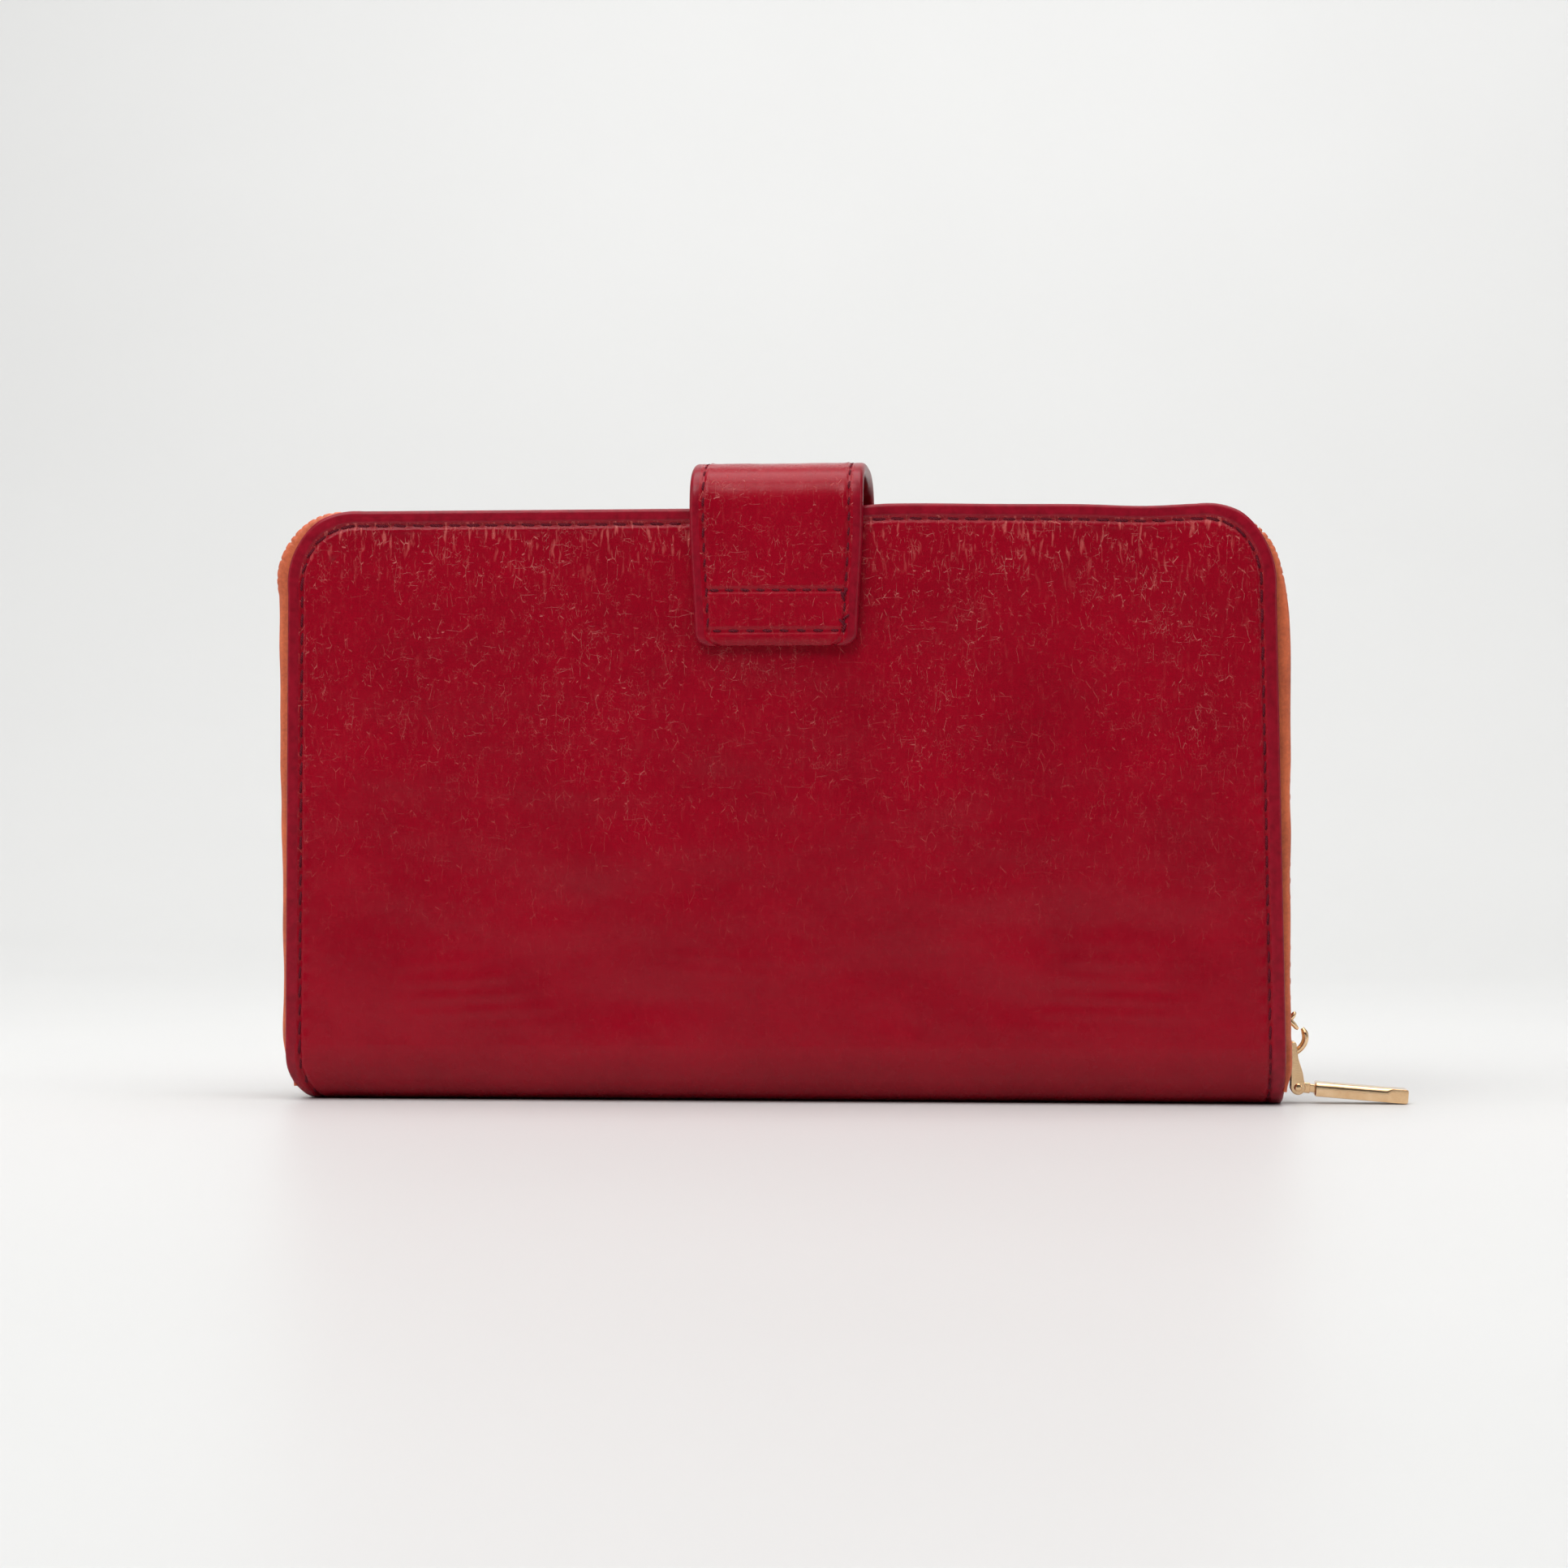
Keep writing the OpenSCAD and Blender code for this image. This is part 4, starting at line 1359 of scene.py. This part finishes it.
def slider_shell():
    """Two dished plates with rolled side rims and a nose wedge between them."""
    z0, z1 = SLIDER[0][2], SLIDER[1][2]
    parts = []
    for x_out, x_in, sgn in ((PLATE_X, PLATE_X - 0.8, 1),
                             (SLIDER[0][0], SLIDER[0][0] + 0.7, -1)):
        rows = []
        nz, ny = 20, 22
        for k in range(nz + 1):
            t = k / nz
            z = z0 + (z1 - z0) * t
            half = 4.1 - 0.62 * float(smooth_step(0.35, 0.95, t)) - 0.5 * float(
                smooth_step(0.07, 0.0, t))
            row = []
            for i in range(ny + 1):
                u = 2 * i / ny - 1
                dish = 0.28 * (1 - abs(u) ** 3) * math.sin(math.pi * min(1, max(0, t))) ** 0.5
                row.append((x_out - sgn * 0.28 + sgn * dish, CHAIN_MID + half * u, z))
            for i in range(ny, -1, -1):
                u = 2 * i / ny - 1
                row.append((x_in, CHAIN_MID + half * 0.97 * u, z))
            rows.append(row)
        parts.append(skin(rows))
    for s in (-1, 1):
        rows = []
        for k in range(17):
            t = k / 16
            z = z0 + 0.15 + (z1 - z0 - 0.3) * t
            half = 4.1 - 0.62 * float(smooth_step(0.35, 0.95, t))
            ring = []
            for q in around(12):
                x = PLATE_X - 1.35 + 1.15 * square_off(math.cos(q), 0.6)
                y = CHAIN_MID + s * (half - 0.18) + 0.18 * square_off(math.sin(q), 0.6)
                ring.append((x, y, z))
            rows.append(ring)
        parts.append(skin(rows))
    v, f = lathe([(0.02, 0), (0.24, 0.02), (0.25, 0.3), (0.25, 3.6), (0.02, 3.65)],
                 (SLIDER[0][0] + 0.3, CHAIN_MID, z0 + 1.4), (1, 0, 0), 12)
    parts.append((v, f))
    return gold("slider_shell", parts, "slider", "slider_body")


slider_shell()


def link_outline(grow=0.0):
    """Pear-shaped side plate in (x, z)."""
    tx, tz = LINK_PIVOT[0], LINK_PIVOT[2]
    bx, bz = PIN_AT[0], PIN_AT[2]
    pts = arc_points(tx, tz, 0.62 + grow, 170, 10, 9)
    pts += [(tx + 0.95 + grow, tz - 2.6), (bx + 0.95 + grow, bz + 2.8)]
    pts += arc_points(bx, bz, 1.42 + grow, 25, -190, 18)
    pts += [(bx - 1.36 - grow, bz + 2.4), (tx - 0.58 - grow, tz - 2.2)]
    return pts


parts = []
half_gap = (LINK[1][1] - LINK[0][1]) / 2 - 0.8
for s in (-1, 1):
    rows = []
    for grow, h in ((-0.16, 0.0), (-0.03, 0.04), (0.0, 0.16), (0.0, 0.64), (-0.03, 0.76),
                    (-0.16, 0.8)):
        y = CHAIN_MID + s * (half_gap + h)
        rows.append([(x, y, z) for x, z in link_outline(grow)])
    parts.append(skin(rows))
v, f = lathe([(0.02, -half_gap - 0.4), (0.6, -half_gap - 0.38), (0.6, half_gap + 0.38),
              (0.02, half_gap + 0.4)],
             (LINK_PIVOT[0], CHAIN_MID, LINK_PIVOT[2]), (0, 1, 0), 24)
parts.append((v, f))
gold("link_stirrup", parts, "link", "pull_link")

pin_half = (PIN[1][1] - PIN[0][1]) / 2
v, f = lathe([(0.02, -pin_half - 0.05), (0.45, -pin_half - 0.03), (0.72, -pin_half + 0.07),
              (0.8, -pin_half + 0.2), (0.8, pin_half - 0.2), (0.72, pin_half - 0.07),
              (0.45, pin_half + 0.03), (0.02, pin_half + 0.05)],
             (PIN_AT[0], CHAIN_MID, PIN_AT[2]), (0, 1, 0), 28)
gold("link_pin", [(v, f)], "link", "pull_pin")


def pull():
    """Flat bar with a necked eye, a groove behind the neck and long top chamfers that
    stop short of the tip."""
    tilt = math.radians(4.6)
    half_w = (PULL[1][1] - PULL[0][1]) / 2
    length = 21.0
    t = 1.35

    def place(x, y, z):
        return (PIN_AT[0] + x * math.cos(tilt) + z * math.sin(tilt), CHAIN_MID + y,
                PIN_AT[2] - x * math.sin(tilt) + z * math.cos(tilt))

    def section(x, w, lo, hi, top_r, r=0.22):
        big = max(top_r, r)
        pts = [(w, lo + r)]
        for a in range(0, 91, 10):
            q = math.radians(a)
            pts.append((w - big + big * math.cos(q), hi - big + big * math.sin(q)))
        pts += [(-y, z) for y, z in reversed(pts)]
        pts += [(-w + r * 0.3, lo + r * 0.3), (-w + r, lo), (w - r, lo),
                (w - r * 0.3, lo + r * 0.3)]
        return [place(x, y, z) for y, z in pts]

    rows = [section(0.6, 1.05, -0.85, 0.85, 0.1, 0.2),
            section(0.7, 1.15, -0.95, 0.95, 0.1, 0.2),
            section(2.3, 1.15, -1.0, 1.0, 0.1, 0.2),
            section(2.35, 0.9, -0.78, 0.78, 0.1, 0.2),
            section(3.2, 0.9, -0.78, 0.78, 0.1, 0.2),
            section(3.22, half_w - 0.25, -t + 0.2, t - 0.2, 0.6),
            section(3.45, half_w, -t, t, 0.92),
            section(3.8, half_w, -t, t, 0.95),
            section(16.2, half_w, -t, t, 0.88),
            section(16.9, half_w, -t, t, 0.84),
            section(17.9, half_w, -t, t, 0.12, 0.12),
            section(18.3, half_w, -t, t, 0.12, 0.12),
            section(length - 0.45, half_w, -t, t, 0.12, 0.12),
            section(length - 0.12, half_w - 0.1, -t + 0.1, t - 0.12, 0.12, 0.12),
            section(length, half_w - 0.35, -t + 0.35, t - 0.4, 0.12, 0.12)]
    eye = lathe([(0.86, -1.2), (1.2, -1.2), (1.34, -1.08), (1.36, 0), (1.34, 1.08), (1.2, 1.2),
                 (0.86, 1.2), (0.86, -1.2)],
                (PIN_AT[0], CHAIN_MID, PIN_AT[2]), (0, 1, 0), 36)
    ob = gold("pull_bar_cast", [skin(rows), (eye[0], eye[1][:-2])], "pull", "pull_bar", False)
    bevel = ob.modifiers.new("Bevel", "BEVEL")
    bevel.width = 0.09 * MM
    bevel.segments = 2
    bevel.limit_method = "ANGLE"
    bevel.angle_limit = math.radians(25)
    return ob


pull()


def stop_blocks():
    parts = []
    for s in (-1, 1):
        x = s * (RING_W - 1.8)
        y = (CHAIN_B_LO[1] + CHAIN_B_HI[1]) / 2
        rows = []
        for z, k in ((5.0, 0.7), (5.15, 0.95), (5.6, 1.0), (6.05, 0.95), (6.2, 0.7)):
            ring = []
            for q in around(16):
                c, si = math.cos(q), math.sin(q)
                ring.append((x + 0.8 * k * square_off(c, 0.5),
                             y + 1.25 * k * square_off(si, 0.5), z))
            rows.append(ring)
        parts.append(skin(rows))
    return gold("zip_end_stops", parts, "back", "zip_stops")


stop_blocks()


# ---------------------------------------------------------------- scene

def backdrop():
    k = Nodes("studio_paper")
    p = k.solid()
    n = k.noise(p, 0.004, 2.0).outputs[0]
    col = k.ramp(n, [(0.2, (0.645, 0.645, 0.637)), (0.8, (0.67, 0.67, 0.662))])
    m = k.set(color=col, rough=0.42, spec=0.35)
    rows = []
    for y, z in [(-820, 0), (-500, 0), (0, 0), (600, 0)] + [
            (600 + 700 * math.sin(math.radians(a)), 700 * (1 - math.cos(math.radians(a))))
            for a in range(8, 91, 6)] + [(1300, 2600)]:
        rows.append([(-3000, y, z), (3000, y, z)])
    v, f = tube(rows, False, False)
    me = bpy.data.meshes.new("studio_floor")
    me.from_pydata([tuple(c * MM for c in q) for q in v], [], [tuple(reversed(q)) for q in f])
    me.polygons.foreach_set("use_smooth", [True] * len(me.polygons))
    me.materials.append(m)
    ob = bpy.data.objects.new("studio_floor", me)
    bpy.context.scene.collection.objects.link(ob)


def area_light(name, where, target, size, power, color=(1, 1, 1), size_y=None):
    d = bpy.data.lights.new(name, "AREA")
    d.energy = power
    d.color = color
    d.shape = "RECTANGLE" if size_y else "SQUARE"
    d.size = size
    if size_y:
        d.size_y = size_y
    ob = bpy.data.objects.new(name, d)
    ob.location = where
    ob.rotation_mode = "QUATERNION"
    ob.rotation_quaternion = (Vector(target) - Vector(where)).to_track_quat("-Z", "Y")
    bpy.context.scene.collection.objects.link(ob)
    return ob


def set_world(strength, color=(1, 1, 1)):
    w = bpy.data.worlds.new("studio")
    w.use_nodes = True
    tree = w.node_tree
    bg = tree.nodes["Background"]
    bg.inputs[0].default_value = (*color, 1)
    bg.inputs[1].default_value = strength
    seen = tree.nodes.new("ShaderNodeBackground")
    seen.inputs[0].default_value = (*color, 1)
    seen.inputs[1].default_value = 0.72
    ray = tree.nodes.new("ShaderNodeLightPath")
    mix = tree.nodes.new("ShaderNodeMixShader")
    tree.links.new(ray.outputs["Is Camera Ray"], mix.inputs[0])
    tree.links.new(bg.outputs[0], mix.inputs[1])
    tree.links.new(seen.outputs[0], mix.inputs[2])
    tree.links.new(mix.outputs[0], tree.nodes["World Output"].inputs[0])
    bpy.context.scene.world = w


backdrop()
set_world(0.09, (0.98, 0.99, 1.0))
area_light("top_softbox", (0.0, -0.25, 1.35), (0, 0.05, 0.02), 2.2, 19)
area_light("key_softbox", (-0.55, -1.05, 1.25), (0, 0, 0.06), 0.8, 9.1)
area_light("left_strip", (-1.2, -0.35, 0.55), (0, 0, 0.06), 0.5, 2.4, size_y=0.9)
area_light("right_strip", (1.2, -0.30, 0.50), (0, 0, 0.06), 0.4, 2.0, size_y=0.8)
area_light("back_wash", (0.0, 0.15, 1.5), (0, 1.3, 0.25), 1.4, 15.5)

CAM_AZ = math.radians(5.3)
CAM_DIST = 0.70
CAM_Z = 0.052
FRAME_W = 0.3011
cam_data = bpy.data.cameras.new("camera")
cam = bpy.data.objects.new("camera", cam_data)
bpy.context.scene.collection.objects.link(cam)
cam_data.sensor_width = 36
cam_data.lens = 36 * CAM_DIST / FRAME_W
cam.location = (CAM_DIST * math.sin(CAM_AZ), -CAM_DIST * math.cos(CAM_AZ) - 0.015, CAM_Z)
aim = Vector((0.0014, -0.015, 0.06136))
cam.rotation_mode = "QUATERNION"
cam.rotation_quaternion = (aim - cam.location).to_track_quat("-Z", "Y")
cam_data.clip_start, cam_data.clip_end = 0.01, 20
bpy.context.scene.camera = cam
bpy.context.scene.view_settings.view_transform = "Standard"
